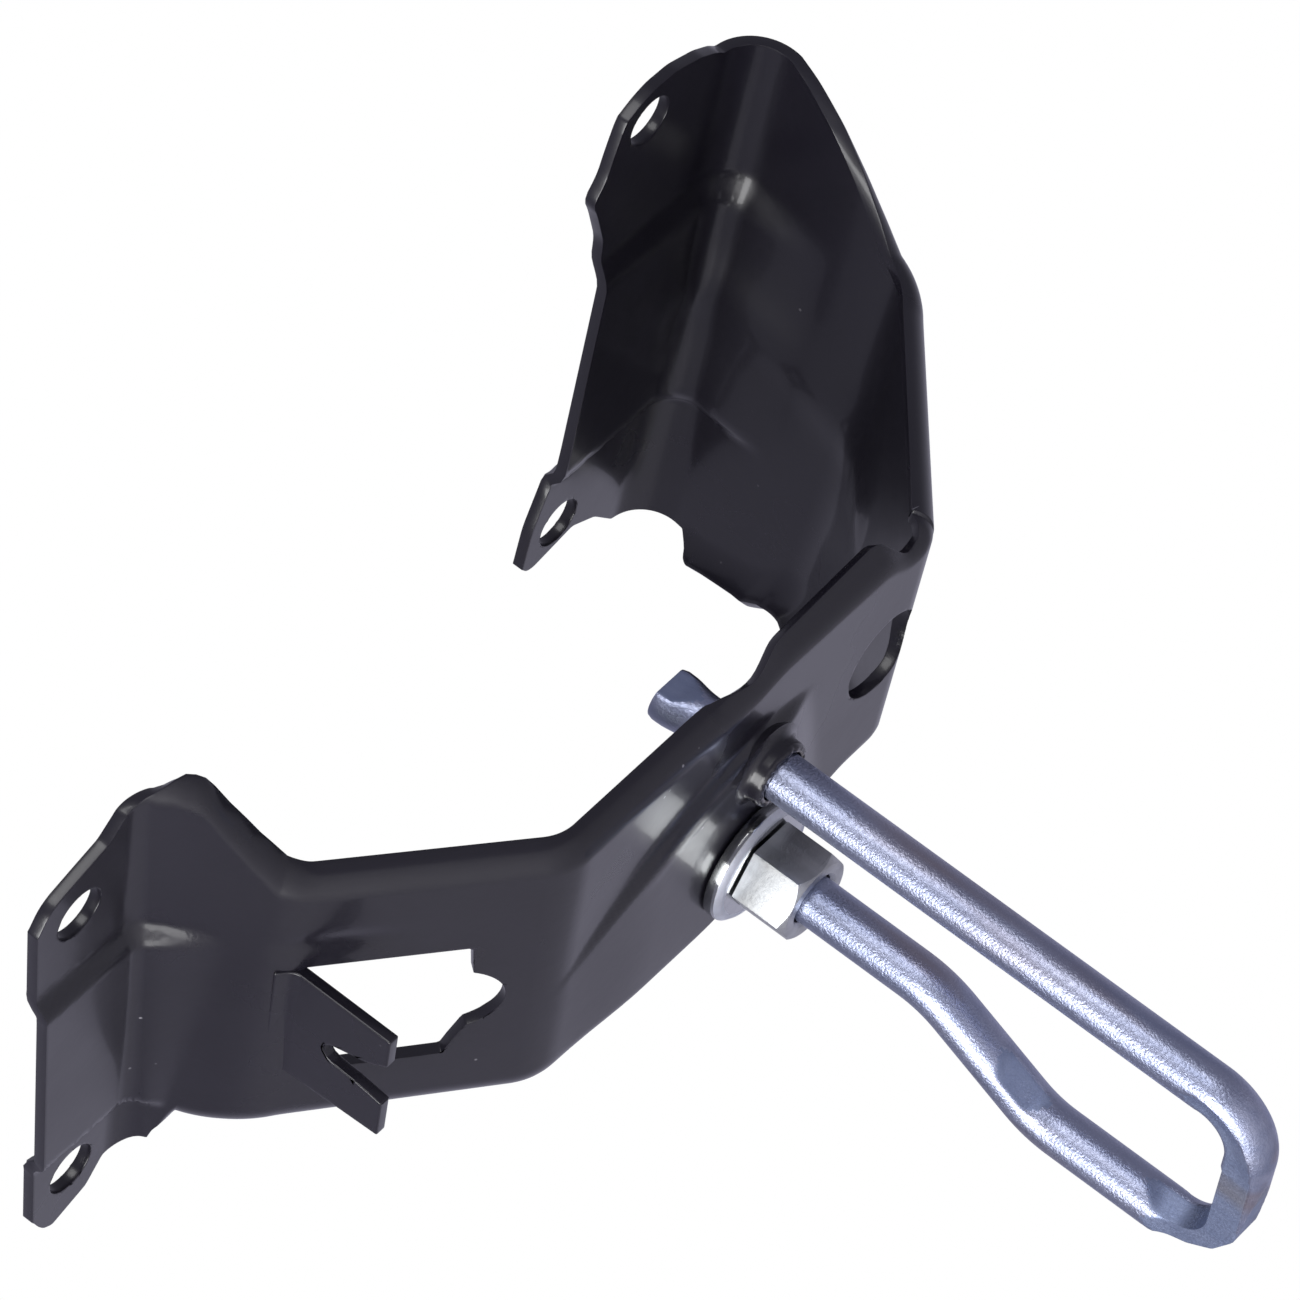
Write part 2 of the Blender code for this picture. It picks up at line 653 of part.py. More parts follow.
def coined_limits(p):
    """How far the rod's section reaches towards the eye and to either side at p."""
    inner = ROD_R
    side = CRIMP_W
    end = smooth(CROSSBAR_DEPTH - CORNER_R - 2.0, CROSSBAR_DEPTH - CORNER_R + 1.5, p.y)
    side = mix(ROD_R, BAR_T / 2.0, end) if end > 0.0 else side
    inner = mix(inner, ROD_R - FLAT_CUT, end)
    if p.x > 0.0:
        bow = smooth(BOW_FLAT[0] - 2.0, BOW_FLAT[0] + 1.0, p.y)
        bow *= 1.0 - smooth(BOW_FLAT[1] - 1.0, BOW_FLAT[1] + 2.0, p.y)
        start = CROSSBAR_DEPTH - CORNER_R - CORNER_FLAT_LENGTH
        low = smooth(start, start + 2.5, p.y)
        inner = min(inner, mix(ROD_R, ROD_R - FLAT_CUT, max(bow, low)))
    return inner, side


def build_hoop(mat, segments=20):
    pts = hoop_path()
    crimp = []
    for share in (0.0, 0.30, 0.62, 1.0):
        crimp.append(Vector((UPPER_Y, TIP_DEPTH + CRIMP_LENGTH * share)))
    pts = crimp + pts[1:]
    bm = bmesh.new()
    rings = []
    for k, p in enumerate(pts):
        a = pts[max(k - 1, 0)]
        b = pts[min(k + 1, len(pts) - 1)]
        t = (b - a).normalized()
        across = Vector((-t.y, t.x))
        blend = 1.0
        if k < 4:
            blend = smooth(0.25, 1.0, k / 3.0)
        half_w = mix(CRIMP_W / 2.0, ROD_R, blend)
        half_t = mix(CRIMP_T / 2.0, ROD_R, blend)
        chamfer = 0.82 if k == len(pts) - 1 else 1.0
        inner, side = coined_limits(p)
        ring = []
        for s in range(segments):
            ang = 2.0 * math.pi * s / segments
            u = max(-min(half_t, inner), min(half_t, ROD_R * math.cos(ang))) * chamfer
            v = max(-side, min(side, half_w * math.sin(ang))) * chamfer
            q = p + across * u
            ring.append(bm.verts.new(Vector((v, q.x, -q.y)) * MM))
        rings.append(ring)
    extra = pts[-1] - (pts[-1] - pts[-2]).normalized() * 1.2
    for s in range(segments):
        ang = 2.0 * math.pi * s / segments
        t = (pts[-1] - pts[-2]).normalized()
        across = Vector((-t.y, t.x))
        q = extra + across * (ROD_R * math.cos(ang))
        rings_new = Vector((ROD_R * math.sin(ang), q.x, -q.y)) * MM
        if s == 0:
            collar = []
        collar.append(bm.verts.new(rings_new))
    rings.insert(len(rings) - 1, collar)
    bm.faces.new(rings[0])
    bm.faces.new(list(reversed(rings[-1])))
    for r0, r1 in zip(rings, rings[1:]):
        for j in range(segments):
            i = (j + 1) % segments
            bm.faces.new((r0[j], r0[i], r1[i], r1[j]))
    hoop = link("striker_hoop", bm, mat, 50.0)
    return hoop


# Washer and nuts on the threaded leg

def build_washer(mat):
    top = SEAT_DEPTH + RUN_GAP
    low = top + WASHER_T
    r = WASHER_OD / 2.0
    inner = BORE_R + 0.1
    profile = [
        (inner, top), (r - 0.4, top), (r, top + 0.4),
        (r, low - 0.5), (r - 0.5, low), (inner, low),
    ]
    return revolve("front_washer", profile, (0.0, LOWER_Y), 40, mat)


def hex_nut(name, depth0, depth1, af, chamfer0, chamfer1, mat):
    """Hexagon with a threaded-bore clearance and cone-cut corners."""
    corner = af / math.sqrt(3.0)
    bm = bmesh.new()
    rings = []
    segments = 36
    levels = []
    if chamfer0 > 0.0:
        levels.append((depth0, -chamfer0 * 1.3))
        levels.append((depth0 + chamfer0 * 0.75, 0.0))
    else:
        levels.append((depth0, 0.0))
    if chamfer1 > 0.0:
        levels.append((depth1 - chamfer1 * 0.75, 0.0))
        levels.append((depth1, -chamfer1 * 1.3))
    else:
        levels.append((depth1, 0.0))
    for depth, inset in levels:
        ring = []
        for k in range(segments):
            a = 2.0 * math.pi * k / segments
            local = (a + math.pi / 6.0) % (math.pi / 3.0) - math.pi / 6.0
            flat = af / 2.0 / math.cos(local)
            r = min(flat, corner + inset) if inset < 0.0 else flat
            ring.append(bm.verts.new(Vector((r * math.cos(a), r * math.sin(a), -depth)) * MM))
        rings.append(ring)
    bores = []
    for depth in (depth0, depth1):
        ring = []
        for k in range(segments):
            a = 2.0 * math.pi * k / segments
            ring.append(bm.verts.new(Vector((BORE_R * math.cos(a), BORE_R * math.sin(a), -depth)) * MM))
        bores.append(ring)
    chain = [bores[0]] + rings + [bores[1]]
    for k in range(len(chain)):
        r0 = chain[k]
        r1 = chain[(k + 1) % len(chain)]
        for j in range(segments):
            i = (j + 1) % segments
            bm.faces.new((r0[j], r0[i], r1[i], r1[j]))
    obj = link(name, bm, mat, 20.0)
    obj.location = (0.0, LOWER_Y * MM, 0.0)
    return obj


def build_front_nut(mat):
    top = SEAT_DEPTH + WASHER_T + 2.0 * RUN_GAP
    nut = hex_nut("front_nut", top, top + NUT_H, NUT_AF, 0.0, NUT_CHAMFER, mat)
    return nut


def build_rear_nut(mat):
    seat = SEAT_DEPTH - SHEET - RUN_GAP
    nut = hex_nut("rear_nut", seat - REAR_NUT_H, seat - REAR_FLANGE_T * 0.6, NUT_AF - 1.0,
                  NUT_CHAMFER, 0.0, mat)
    r = REAR_FLANGE_OD / 2.0
    profile = [
        (BORE_R, seat), (BORE_R, seat - REAR_FLANGE_T),
        (r - 1.8, seat - REAR_FLANGE_T), (r, seat - 0.8), (r, seat),
    ]
    flange = revolve("rear_flange_blank", profile, (0.0, LOWER_Y), 36)
    boolean(nut, flange, "UNION")
    return nut


def main():
    clear_scene()
    paint = material("Black electrocoated steel", (0.012, 0.011, 0.014), 0.28, 0.0)
    zinc = material("Blue zinc plated steel rod", (0.52, 0.55, 0.62), 0.34, 1.0)
    bright = material("Bright zinc plated steel", (0.66, 0.69, 0.70), 0.26, 1.0)
    washer_mat = material("Zinc plated washer steel", (0.62, 0.65, 0.67), 0.32, 1.0)
    rear_mat = material("Zinc plated flange nut steel", (0.60, 0.62, 0.64), 0.32, 1.0)
    build_bracket(paint)
    build_hoop(zinc)
    build_washer(washer_mat)
    build_front_nut(bright)
    build_rear_nut(rear_mat)


main()
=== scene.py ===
# %% [markdown]
# Hood latch striker: a black electrocoated sheet-steel bracket that carries a bent, zinc
# plated striker hoop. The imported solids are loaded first, because they fix every size and
# every place. Each visible piece is then modelled again in finer detail over its solid, so
# that it keeps the same envelope and moves with the same body.

# %% Load the frame
import math

import bmesh
import bpy
import numpy as np
from mathutils import Matrix, Vector


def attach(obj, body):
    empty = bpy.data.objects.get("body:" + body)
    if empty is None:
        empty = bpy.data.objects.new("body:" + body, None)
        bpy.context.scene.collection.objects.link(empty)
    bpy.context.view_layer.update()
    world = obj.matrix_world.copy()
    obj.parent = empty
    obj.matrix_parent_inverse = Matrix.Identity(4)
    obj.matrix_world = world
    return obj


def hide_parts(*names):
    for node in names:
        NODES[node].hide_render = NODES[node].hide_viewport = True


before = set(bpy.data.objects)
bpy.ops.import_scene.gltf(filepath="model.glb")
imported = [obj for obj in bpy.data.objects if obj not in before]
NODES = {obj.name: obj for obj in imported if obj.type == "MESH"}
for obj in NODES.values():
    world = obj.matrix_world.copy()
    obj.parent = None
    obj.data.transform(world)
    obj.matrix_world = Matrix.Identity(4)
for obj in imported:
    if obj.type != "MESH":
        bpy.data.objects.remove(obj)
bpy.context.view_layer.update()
MM = 0.001
print("solids:", sorted(NODES))


# %% Small helpers
def srgb(hex_code):
    """Linear RGBA of an sRGB hex value."""
    values = []
    for start in (0, 2, 4):
        c = int(hex_code[start:start + 2], 16) / 255.0
        values.append(c / 12.92 if c <= 0.04045 else ((c + 0.055) / 1.055) ** 2.4)
    return (*values, 1.0)


def add_node(tree, kind, links=(), **settings):
    """Adds a node, sets its properties and inputs, and links (input, output) pairs."""
    node = tree.nodes.new(kind)
    for key, value in settings.items():
        if hasattr(node, key):
            setattr(node, key, value)
        else:
            node.inputs[key.replace("_", " ")].default_value = value
    for target, source in links:
        tree.links.new(source, node.inputs[target])
    return node


def per_mm(size):
    """Texture scale at which one feature of the pattern is size mm across."""
    return 1.0 / (size * MM)


def select_only(obj):
    bpy.ops.object.select_all(action="DESELECT")
    obj.select_set(True)
    bpy.context.view_layer.objects.active = obj


print("helpers ready")

# %% [markdown]
# The photograph was taken with a long lens from below, on the side of the hoop, and the
# camera was rolled. Its three directions were solved from the parallel legs and the round
# holes, so the camera is placed by its own axes and not by aiming it at a point.

# %% Camera
CAMERA_RIGHT = Vector((0.6314, -0.1113, -0.7674))
CAMERA_UP = Vector((0.5682, -0.6070, 0.5555))
CAMERA_BACK = Vector((-0.5277, -0.7868, -0.3200))
CAMERA_PLACE = Vector((-0.6419, -0.9747, -0.4137))

SENSOR_MM, LENS_MM = 36.0, 227.6

camera_data = bpy.data.cameras.new("photo_camera")
camera_data.sensor_width = SENSOR_MM
camera_data.lens = LENS_MM
camera_data.clip_start = 0.01
camera = bpy.data.objects.new("photo_camera", camera_data)
bpy.context.scene.collection.objects.link(camera)
axes = Matrix((CAMERA_RIGHT, CAMERA_UP, CAMERA_BACK)).transposed()
camera.matrix_world = Matrix.Translation(CAMERA_PLACE) @ axes.to_4x4()
bpy.context.scene.camera = camera
bpy.context.scene.view_settings.view_transform = "Standard"
print("camera at", [round(v, 3) for v in CAMERA_PLACE])

# %% [markdown]
# The background of the photograph is white, but glossy black paint shows mostly what it
# reflects, and it reflects a dim room with one bright side. So the world is white only to the
# camera and through gaps, and to everything else it is a soft gradient, brightest where the
# panel and the feet look, from below and behind. Three soft lamps add the direction.

# %% World
BRIGHT_SIDE = (0.62, 0.74, -0.26)
DIM_ROOM, BRIGHT_ROOM = 0.32, 0.7

world = bpy.data.worlds.new("studio")
bpy.context.scene.world = world
world.use_nodes = True
wt = world.node_tree
wt.nodes.clear()
rays = add_node(wt, "ShaderNodeLightPath")
seen = add_node(wt, "ShaderNodeMath", [(0, rays.outputs["Is Camera Ray"]),
                                       (1, rays.outputs["Is Transmission Ray"])], operation="MAXIMUM")
way = add_node(wt, "ShaderNodeTexCoord")
toward = add_node(wt, "ShaderNodeVectorMath", [(0, way.outputs["Generated"])], operation="DOT_PRODUCT")
toward.inputs[1].default_value = BRIGHT_SIDE
glow = add_node(wt, "ShaderNodeMapRange", [("Value", toward.outputs["Value"])], From_Min=0.35,
                From_Max=1.0, To_Min=DIM_ROOM, To_Max=BRIGHT_ROOM)
room = add_node(wt, "ShaderNodeBackground", [("Strength", glow.outputs[0])], Color=srgb("dedcf2"))
white = add_node(wt, "ShaderNodeBackground", Color=(1.0, 1.0, 1.0, 1.0), Strength=1.0)
both = add_node(wt, "ShaderNodeMixShader", [(0, seen.outputs[0]), (1, room.outputs[0]),
                                            (2, white.outputs[0])])
add_node(wt, "ShaderNodeOutputWorld", [(0, both.outputs[0])])
print("room strength from", DIM_ROOM, "to", BRIGHT_ROOM)


# %% Lamps
def lamp(name, place, size, power):
    """Square area lamp of a size in metres, aimed at the middle of the part."""
    data = bpy.data.lights.new(name, "AREA")
    data.shape = "SQUARE"
    data.size = size
    data.energy = power
    obj = bpy.data.objects.new(name, data)
    bpy.context.scene.collection.objects.link(obj)
    obj.location = place
    aim = Vector(CENTRE) - Vector(place)
    obj.rotation_euler = aim.to_track_quat("-Z", "Y").to_euler()


CENTRE = (-0.01, 0.0, -0.06)
# The key whitens one flank of the nut and draws the lower streak along the hoop, the front
# lamp draws the upper streak, and the low one lifts the undersides
lamp("key_softbox", (-1.48, -0.10, -0.18), 0.9, 18.0)
lamp("front_softbox", (-0.51, -1.23, 0.39), 0.7, 4.8)
lamp("low_softbox", (-0.9, 0.2, -0.65), 0.5, 2.0)

# %% Floor
bpy.ops.object.select_all(action="DESELECT")
bpy.ops.mesh.primitive_plane_add(size=2.4, location=(0.0, 0.0, -0.75))
floor = bpy.context.active_object
floor.name = "floor"
floor_paint = bpy.data.materials.new("matt white paper sweep")
floor_paint.use_nodes = True
paper = floor_paint.node_tree.nodes["Principled BSDF"]
paper.inputs["Base Color"].default_value = srgb("f2f1f4")
paper.inputs["Roughness"].default_value = 0.9
floor.data.materials.append(floor_paint)
print("floor at z", floor.location.z)

# %% [markdown]
# Electrocoat is a thin dipped paint, baked hard. It is near black with a violet cast, glossy
# but not mirror smooth: a fine orange peel blurs what it reflects. Handling leaves hairline
# scratches and specks of lint; only the lint is drawn.


# %% Electrocoat
def ecoat(name):
    """Black paint: slow cloudy tint, sparse lint, smeared gloss and two sizes of orange peel."""
    mat = bpy.data.materials.new(name)
    mat.use_nodes = True
    t = mat.node_tree
    shader = t.nodes["Principled BSDF"]
    shader.inputs["IOR"].default_value = 1.52
    shader.inputs["Metallic"].default_value = 0.0
    shader.inputs["Coat Weight"].default_value = 0.35
    shader.inputs["Coat Roughness"].default_value = 0.1
    place = add_node(t, "ShaderNodeTexCoord")
    where = place.outputs["Object"]
    cloud = add_node(t, "ShaderNodeTexNoise", [("Vector", where)], Scale=per_mm(26.3),
                     Detail=4.0)
    tint = add_node(t, "ShaderNodeMix", [("Factor", cloud.outputs[0])], data_type="RGBA")
    tint.inputs[6].default_value = srgb("131118")
    tint.inputs[7].default_value = srgb("1c1a24")
    lint = add_node(t, "ShaderNodeTexVoronoi", [("Vector", where)], Scale=per_mm(3.85))
    speck = add_node(t, "ShaderNodeMapRange", [("Value", lint.outputs["Distance"])],
                     From_Min=0.05, From_Max=0.09, To_Min=1.0, To_Max=0.0)
    sparse = add_node(t, "ShaderNodeTexNoise", [("Vector", where)], Scale=per_mm(11.1),
                      Detail=1.0)
    keep = add_node(t, "ShaderNodeMapRange", [("Value", sparse.outputs[0])],
                    From_Min=0.64, From_Max=0.70)
    dust = add_node(t, "ShaderNodeMath", [(0, speck.outputs[0]), (1, keep.outputs[0])],
                    operation="MULTIPLY")
    colour = add_node(t, "ShaderNodeMix", [("Factor", dust.outputs[0]), (6, tint.outputs[2])],
                      data_type="RGBA")
    colour.inputs[7].default_value = srgb("8d8b90")
    t.links.new(colour.outputs[2], shader.inputs["Base Color"])
    smear = add_node(t, "ShaderNodeTexNoise", [("Vector", where)], Scale=per_mm(45.5),
                     Detail=5.0)
    rough = add_node(t, "ShaderNodeMapRange", [("Value", smear.outputs[0])],
                     From_Min=0.3, From_Max=0.7, To_Min=0.24, To_Max=0.36)
    t.links.new(rough.outputs[0], shader.inputs["Roughness"])
    peel = add_node(t, "ShaderNodeTexNoise", [("Vector", where)], Scale=per_mm(1.43), Detail=2.0)
    wave = add_node(t, "ShaderNodeTexNoise", [("Vector", where)], Scale=per_mm(9.1), Detail=2.0)
    swell = add_node(t, "ShaderNodeBump", [("Height", wave.outputs[0])], Strength=0.12,
                     Distance=0.4 * MM)
    skin = add_node(t, "ShaderNodeBump", [("Height", peel.outputs[0]), ("Normal", swell.outputs[0])],
                    Strength=0.10, Distance=0.1 * MM)
    t.links.new(skin.outputs[0], shader.inputs["Normal"])
    return mat


# Dipped and baked over the pressed sheet: near black, with blurred grey reflections
ECOAT = ecoat("black electrocoat over pressed steel")
# The same coat where a hole or an edge was sheared first: it catches the light as a thin line
CUT_EDGE = ecoat("electrocoat over a sheared edge")
print(ECOAT.name, "and", CUT_EDGE.name)

# %% [markdown]
# Zinc plating on a rolled rod follows the rod's own grain: it is bright, a little blue, with
# long brown streaks where the passivation ran along the rod. One function makes each plated
# finish: streaks that run along z, stained patches, and a grit that breaks up the highlights.
# The grit is drawn about 0.4 mm across, coarser than the real crystals, so that it still shows.


# %% Zinc plating
STREAK_SHARE = 0.12  # a streak is 1 / 0.12, about eight times, as long as it is wide


def zinc(name, pale, deep, stain, rough_low, rough_high, grit_mm, grit_strength=0.2):
    """Plated steel between two colours, with stained patches and a grit of a size in mm."""
    mat = bpy.data.materials.new(name)
    mat.use_nodes = True
    t = mat.node_tree
    shader = t.nodes["Principled BSDF"]
    shader.inputs["Metallic"].default_value = 1.0
    place = add_node(t, "ShaderNodeTexCoord")
    where = place.outputs["Object"]
    along = add_node(t, "ShaderNodeMapping", [("Vector", where)])
    along.inputs["Scale"].default_value = (1.0, 1.0, STREAK_SHARE)
    streak = add_node(t, "ShaderNodeTexNoise", [("Vector", along.outputs[0])], Scale=per_mm(2.38),
                      Detail=5.0)
    patch = add_node(t, "ShaderNodeTexNoise", [("Vector", along.outputs[0])], Scale=per_mm(8.33),
                     Detail=3.0)
    base = add_node(t, "ShaderNodeMix", [("Factor", streak.outputs[0])], data_type="RGBA")
    base.inputs[6].default_value = srgb(deep)
    base.inputs[7].default_value = srgb(pale)
    mask = add_node(t, "ShaderNodeMapRange", [("Value", patch.outputs[0])],
                    From_Min=0.52, From_Max=0.72, To_Max=0.6)
    tone = add_node(t, "ShaderNodeMix", [("Factor", mask.outputs[0]), (6, base.outputs[2])],
                    data_type="RGBA")
    tone.inputs[7].default_value = srgb(stain)
    t.links.new(tone.outputs[2], shader.inputs["Base Color"])
    grit = add_node(t, "ShaderNodeTexNoise", [("Vector", where)], Scale=per_mm(grit_mm), Detail=3.0)
    rough = add_node(t, "ShaderNodeMapRange", [("Value", grit.outputs[0])],
                     From_Min=0.3, From_Max=0.7, To_Min=rough_low, To_Max=rough_high)
    t.links.new(rough.outputs[0], shader.inputs["Roughness"])
    bump = add_node(t, "ShaderNodeBump", [("Height", grit.outputs[0])], Strength=grit_strength,
                    Distance=0.1 * MM)
    t.links.new(bump.outputs[0], shader.inputs["Normal"])
    return mat


# %% Plated finishes
# Rolled rod: grainy double streak, violet-grey shadow side
ZINC_ROD = zinc("blue zinc plated rod steel", "c8cce0", "8a95b4", "a08a80", 0.3, 0.44, 0.42, 1.0)
# Cold-formed nut: smoother and whiter, streaked along its flats
ZINC_NUT = zinc("bright zinc plated nut steel", "e2e4e5", "a3a7aa", "a9a8a6", 0.34, 0.46, 0.6)
# Turned rim of the washer: almost a mirror, so it shows the dark bracket
ZINC_WASHER = zinc("turned zinc plated washer steel", "d2d4d4", "b4b8ba", "a3a29e", 0.08, 0.16, 0.8,
                   0.1)
# Its chamfer was tumbled: a pale matt band
ZINC_BAND = zinc("tumbled zinc plated washer chamfer", "e4e7ee", "cfd3dc", "c0c2c6", 0.5, 0.62, 0.4)
# Flats pressed by a die: even, matt and blue-grey
ZINC_COINED = zinc("coined zinc plated flats", "a9b3cc", "8390b0", "9a938e", 0.44, 0.6, 0.4)
# Rim torn by the piercing punch, bare and worn: a thin bright ragged line
TORN_EDGE = zinc("worn torn rim of the neck", "c9c6c2", "6f6a66", "4a4644", 0.3, 0.5, 0.3)
print("plated finishes:", [m.name for m in (ZINC_ROD, ZINC_NUT, ZINC_WASHER, ZINC_BAND)])

# %% [markdown]
# ## Bracket sheet
# The bracket is one stamping of 2 mm sheet: two feet, two slanted flanks and a centre panel,
# with its long edges rolled inwards to stiffen it. A plane extruded along the folds would give
# the facets but not the leaning bends and the rolls that fade in and out. So a grid primitive
# is laid over the unfolded blank, one direction along the folds and the other across, and each
# of its points is carried to its place on the folded sheet. Solidify then gives the thickness.

# %% Folds of the sheet
# x, depth below the hood, lean of x and of depth per mm of y, outer bend radius
FOLDS = [
    (-109.4, 2.0, 0.064, 0.0, 0.0),
    (-89.3, 2.0, 0.055, 0.0, 5.0),
    (-80.1, 18.8, -0.124, -0.066, 22.0),
    (-45.0, 46.0, 0.0, 0.0, 12.0),
    (36.8, 46.0, -0.09, 0.0, 7.0),
    (73.4, 12.9, -0.078, -0.07, 14.0),
    (79.2, -28.0, -0.085, 0.0, 9.0),
    (46.2, -28.0, -0.11, 0.0, 0.0),
]
SHEET = 2.0
LEG_Y = 11.0
BEND = 0.06  # label i - BEND to i + BEND is the bend at fold i, and what lies between is flat


def folded(label, y):
    """Point (x, depth) and outward normal of the outer face; label counts the folds."""
    corners = [np.stack([x + lx * y, d + ld * y], -1) for x, d, lx, ld, r in FOLDS]
    starts, ends, arcs = [corners[0]], [corners[0]], [None]
    for i in range(1, 7):
        before = corners[i] - corners[i - 1]
        after = corners[i + 1] - corners[i]
        before = before / np.linalg.norm(before, axis=-1, keepdims=True)
        after = after / np.linalg.norm(after, axis=-1, keepdims=True)
        cross = before[..., 0] * after[..., 1] - before[..., 1] * after[..., 0]
        side = np.where(cross > 0, 1.0, -1.0)
        turn = np.arccos(np.clip((before * after).sum(-1), -1, 1))
        back = FOLDS[i][4] * np.tan(turn / 2)
        start = corners[i] - before * back[..., None]
        normal = np.stack([-before[..., 1], before[..., 0]], -1)
        centre = start + normal * (FOLDS[i][4] * side)[..., None]
        arcs.append((start - centre, centre, side * turn, normal))
        starts.append(start)
        ends.append(corners[i] + after * back[..., None])
    starts.append(corners[7])
    ends.append(corners[7])
    point = np.zeros(label.shape + (2,))
    out = np.zeros(label.shape + (2,))
    facet = np.clip(np.floor(label), 0, 6)
    for i in range(7):
        flat = facet == i
        first = BEND if i > 0 else 0.0
        last = 1.0 - BEND if i < 6 else 1.0
        span = starts[i + 1] - ends[i]
        t = np.clip((label - i - first) / (last - first), 0.0, 1.0)
        p = ends[i] + span * t[..., None]
        d = span / np.linalg.norm(span, axis=-1, keepdims=True)
        n = np.stack([-d[..., 1], d[..., 0]], -1)
        point[flat], out[flat] = p[flat], n[flat]
    for i in range(1, 7):
        arm, centre, sweep, normal = arcs[i]
        bend = np.abs(label - i) < BEND
        a = sweep * (label - i + BEND) / (2.0 * BEND)
        ca, sa = np.cos(a), np.sin(a)
        turned = np.stack([arm[..., 0] * ca - arm[..., 1] * sa,
                           arm[..., 0] * sa + arm[..., 1] * ca], -1)
        n = np.stack([normal[..., 0] * ca - normal[..., 1] * sa,
                      normal[..., 0] * sa + normal[..., 1] * ca], -1)
        p = centre + turned
        point[bend], out[bend] = p[bend], n[bend]
    return point, out


middles, _ = folded(np.arange(7) + 0.5, np.zeros(7))
print("x and depth of the middle of each facet:", middles.round(1).tolist())


# %% Smooth steps and edge lines
def ramp(low, high, value):
    """Smooth step from 0 at low to 1 at high."""
    t = np.clip((value - low) / (high - low), 0.0, 1.0)
    return t * t * (3.0 - 2.0 * t)


def edge_line(rows, label, soften=0.035):
    """Reads (label, value) rows with their corners rounded, as a die's outline has them."""
    xs, ys = zip(*rows)
    total = np.zeros(label.shape)
    for share, weight in ((-1.0, 1), (-0.5, 2), (0.0, 3), (0.5, 2), (1.0, 1)):
        total += weight * np.interp(np.clip(label + share * soften, 0.0, 7.0), xs, ys)
    return total / 9.0


print("a corner of 4 mm is rounded to", edge_line([(0, 0), (1, 4), (2, 0)], np.array([1.0])).round(2))

# %% [markdown]
# The edges of the blank and their rolls are rows of a label along the folds and a value: y of
# the edge in mm, angle of the roll in degrees, radius or length in mm. The upper edge is the
# one on the plain leg's side. Beside the neck it is rolled only half as far as elsewhere and
# then runs on straight as a short slanted flange, so its run beyond the roll has rows too.

# %% Edges of the blank
TOP_EDGE = [
    (0.0, -34.5), (0.09, -37.4), (0.14, -38.4), (0.22, -39.4), (0.48, -41.2), (0.75, -43.0),
    (0.94, -46.4), (1.05, -49.4), (1.2, -51.0), (1.35, -49.4), (1.5, -43.6), (1.72, -37.0),
    (1.94, -31.9), (2.04, -30.5), (4.95, -31.3), (5.03, -33.1), (5.19, -37.3), (5.39, -42.1),
    (5.59, -46.2), (5.81, -49.4), (6.06, -51.8), (6.16, -53.6), (6.35, -55.8), (6.64, -57.8),
    (6.82, -57.8), (6.92, -56.8), (7.0, -55.0)]
LOW_EDGE = [
    (0.0, 42.5), (0.09, 45.6), (0.16, 47.2), (0.28, 48.3), (0.74, 45.5), (0.97, 40.5),
    (1.04, 37.6), (1.6, 33.4), (2.0, 29.6), (3.28, 29.6), (3.5, 25.0), (3.86, 19.0),
    (4.0, 20.0), (4.12, 28.0), (4.95, 50.0), (5.19, 55.0), (5.59, 57.8), (5.72, 59.0),
    (5.78, 58.4), (5.83, 56.4), (5.88, 54.6), (5.96, 54.5), (6.06, 54.0), (6.29, 48.5),
    (6.54, 45.5), (6.88, 47.5), (6.95, 46.9), (7.0, 45.2)]
TOP_ROLL = [(0.97, 0.0), (1.25, 80.0), (2.0, 84.0), (3.40, 84.0), (3.50, 40.0), (3.54, 40.0),
            (3.84, 44.0), (3.90, 34.0), (4.03, 84.0), (5.0, 84.0), (5.95, 10.0), (6.0, 0.0)]
TOP_RUN = [(3.40, 0.0), (3.50, 0.4), (3.56, 2.6), (3.84, 3.2), (3.90, 0.0)]
TOP_FLAT = [(3.40, 0.0), (3.50, -1.0), (3.56, -2.6), (3.84, -2.6), (3.91, 0.6), (4.0, 0.0)]
LOW_ROLL = [(1.6, 0.0), (2.1, 78.0), (4.0, 78.0), (4.95, 42.0), (5.3, 54.0), (5.75, 50.0),
            (5.81, 36.0), (5.9, 0.0)]
LOW_RADIUS = [(3.2, 6.0), (3.38, 3.0), (3.72, 3.0), (4.0, 6.0), (4.95, 15.2), (5.3, 8.7)]
print("edge rows:", len(TOP_EDGE), len(LOW_EDGE))


# %% Pressed relief of the sheet
PAD_RISE = 2.0
SEAT_RISE = 1.6
CREASE_RISE = 0.15
DIMPLE_DEPTH = 0.45
TROUGH_DEPTH = 0.9


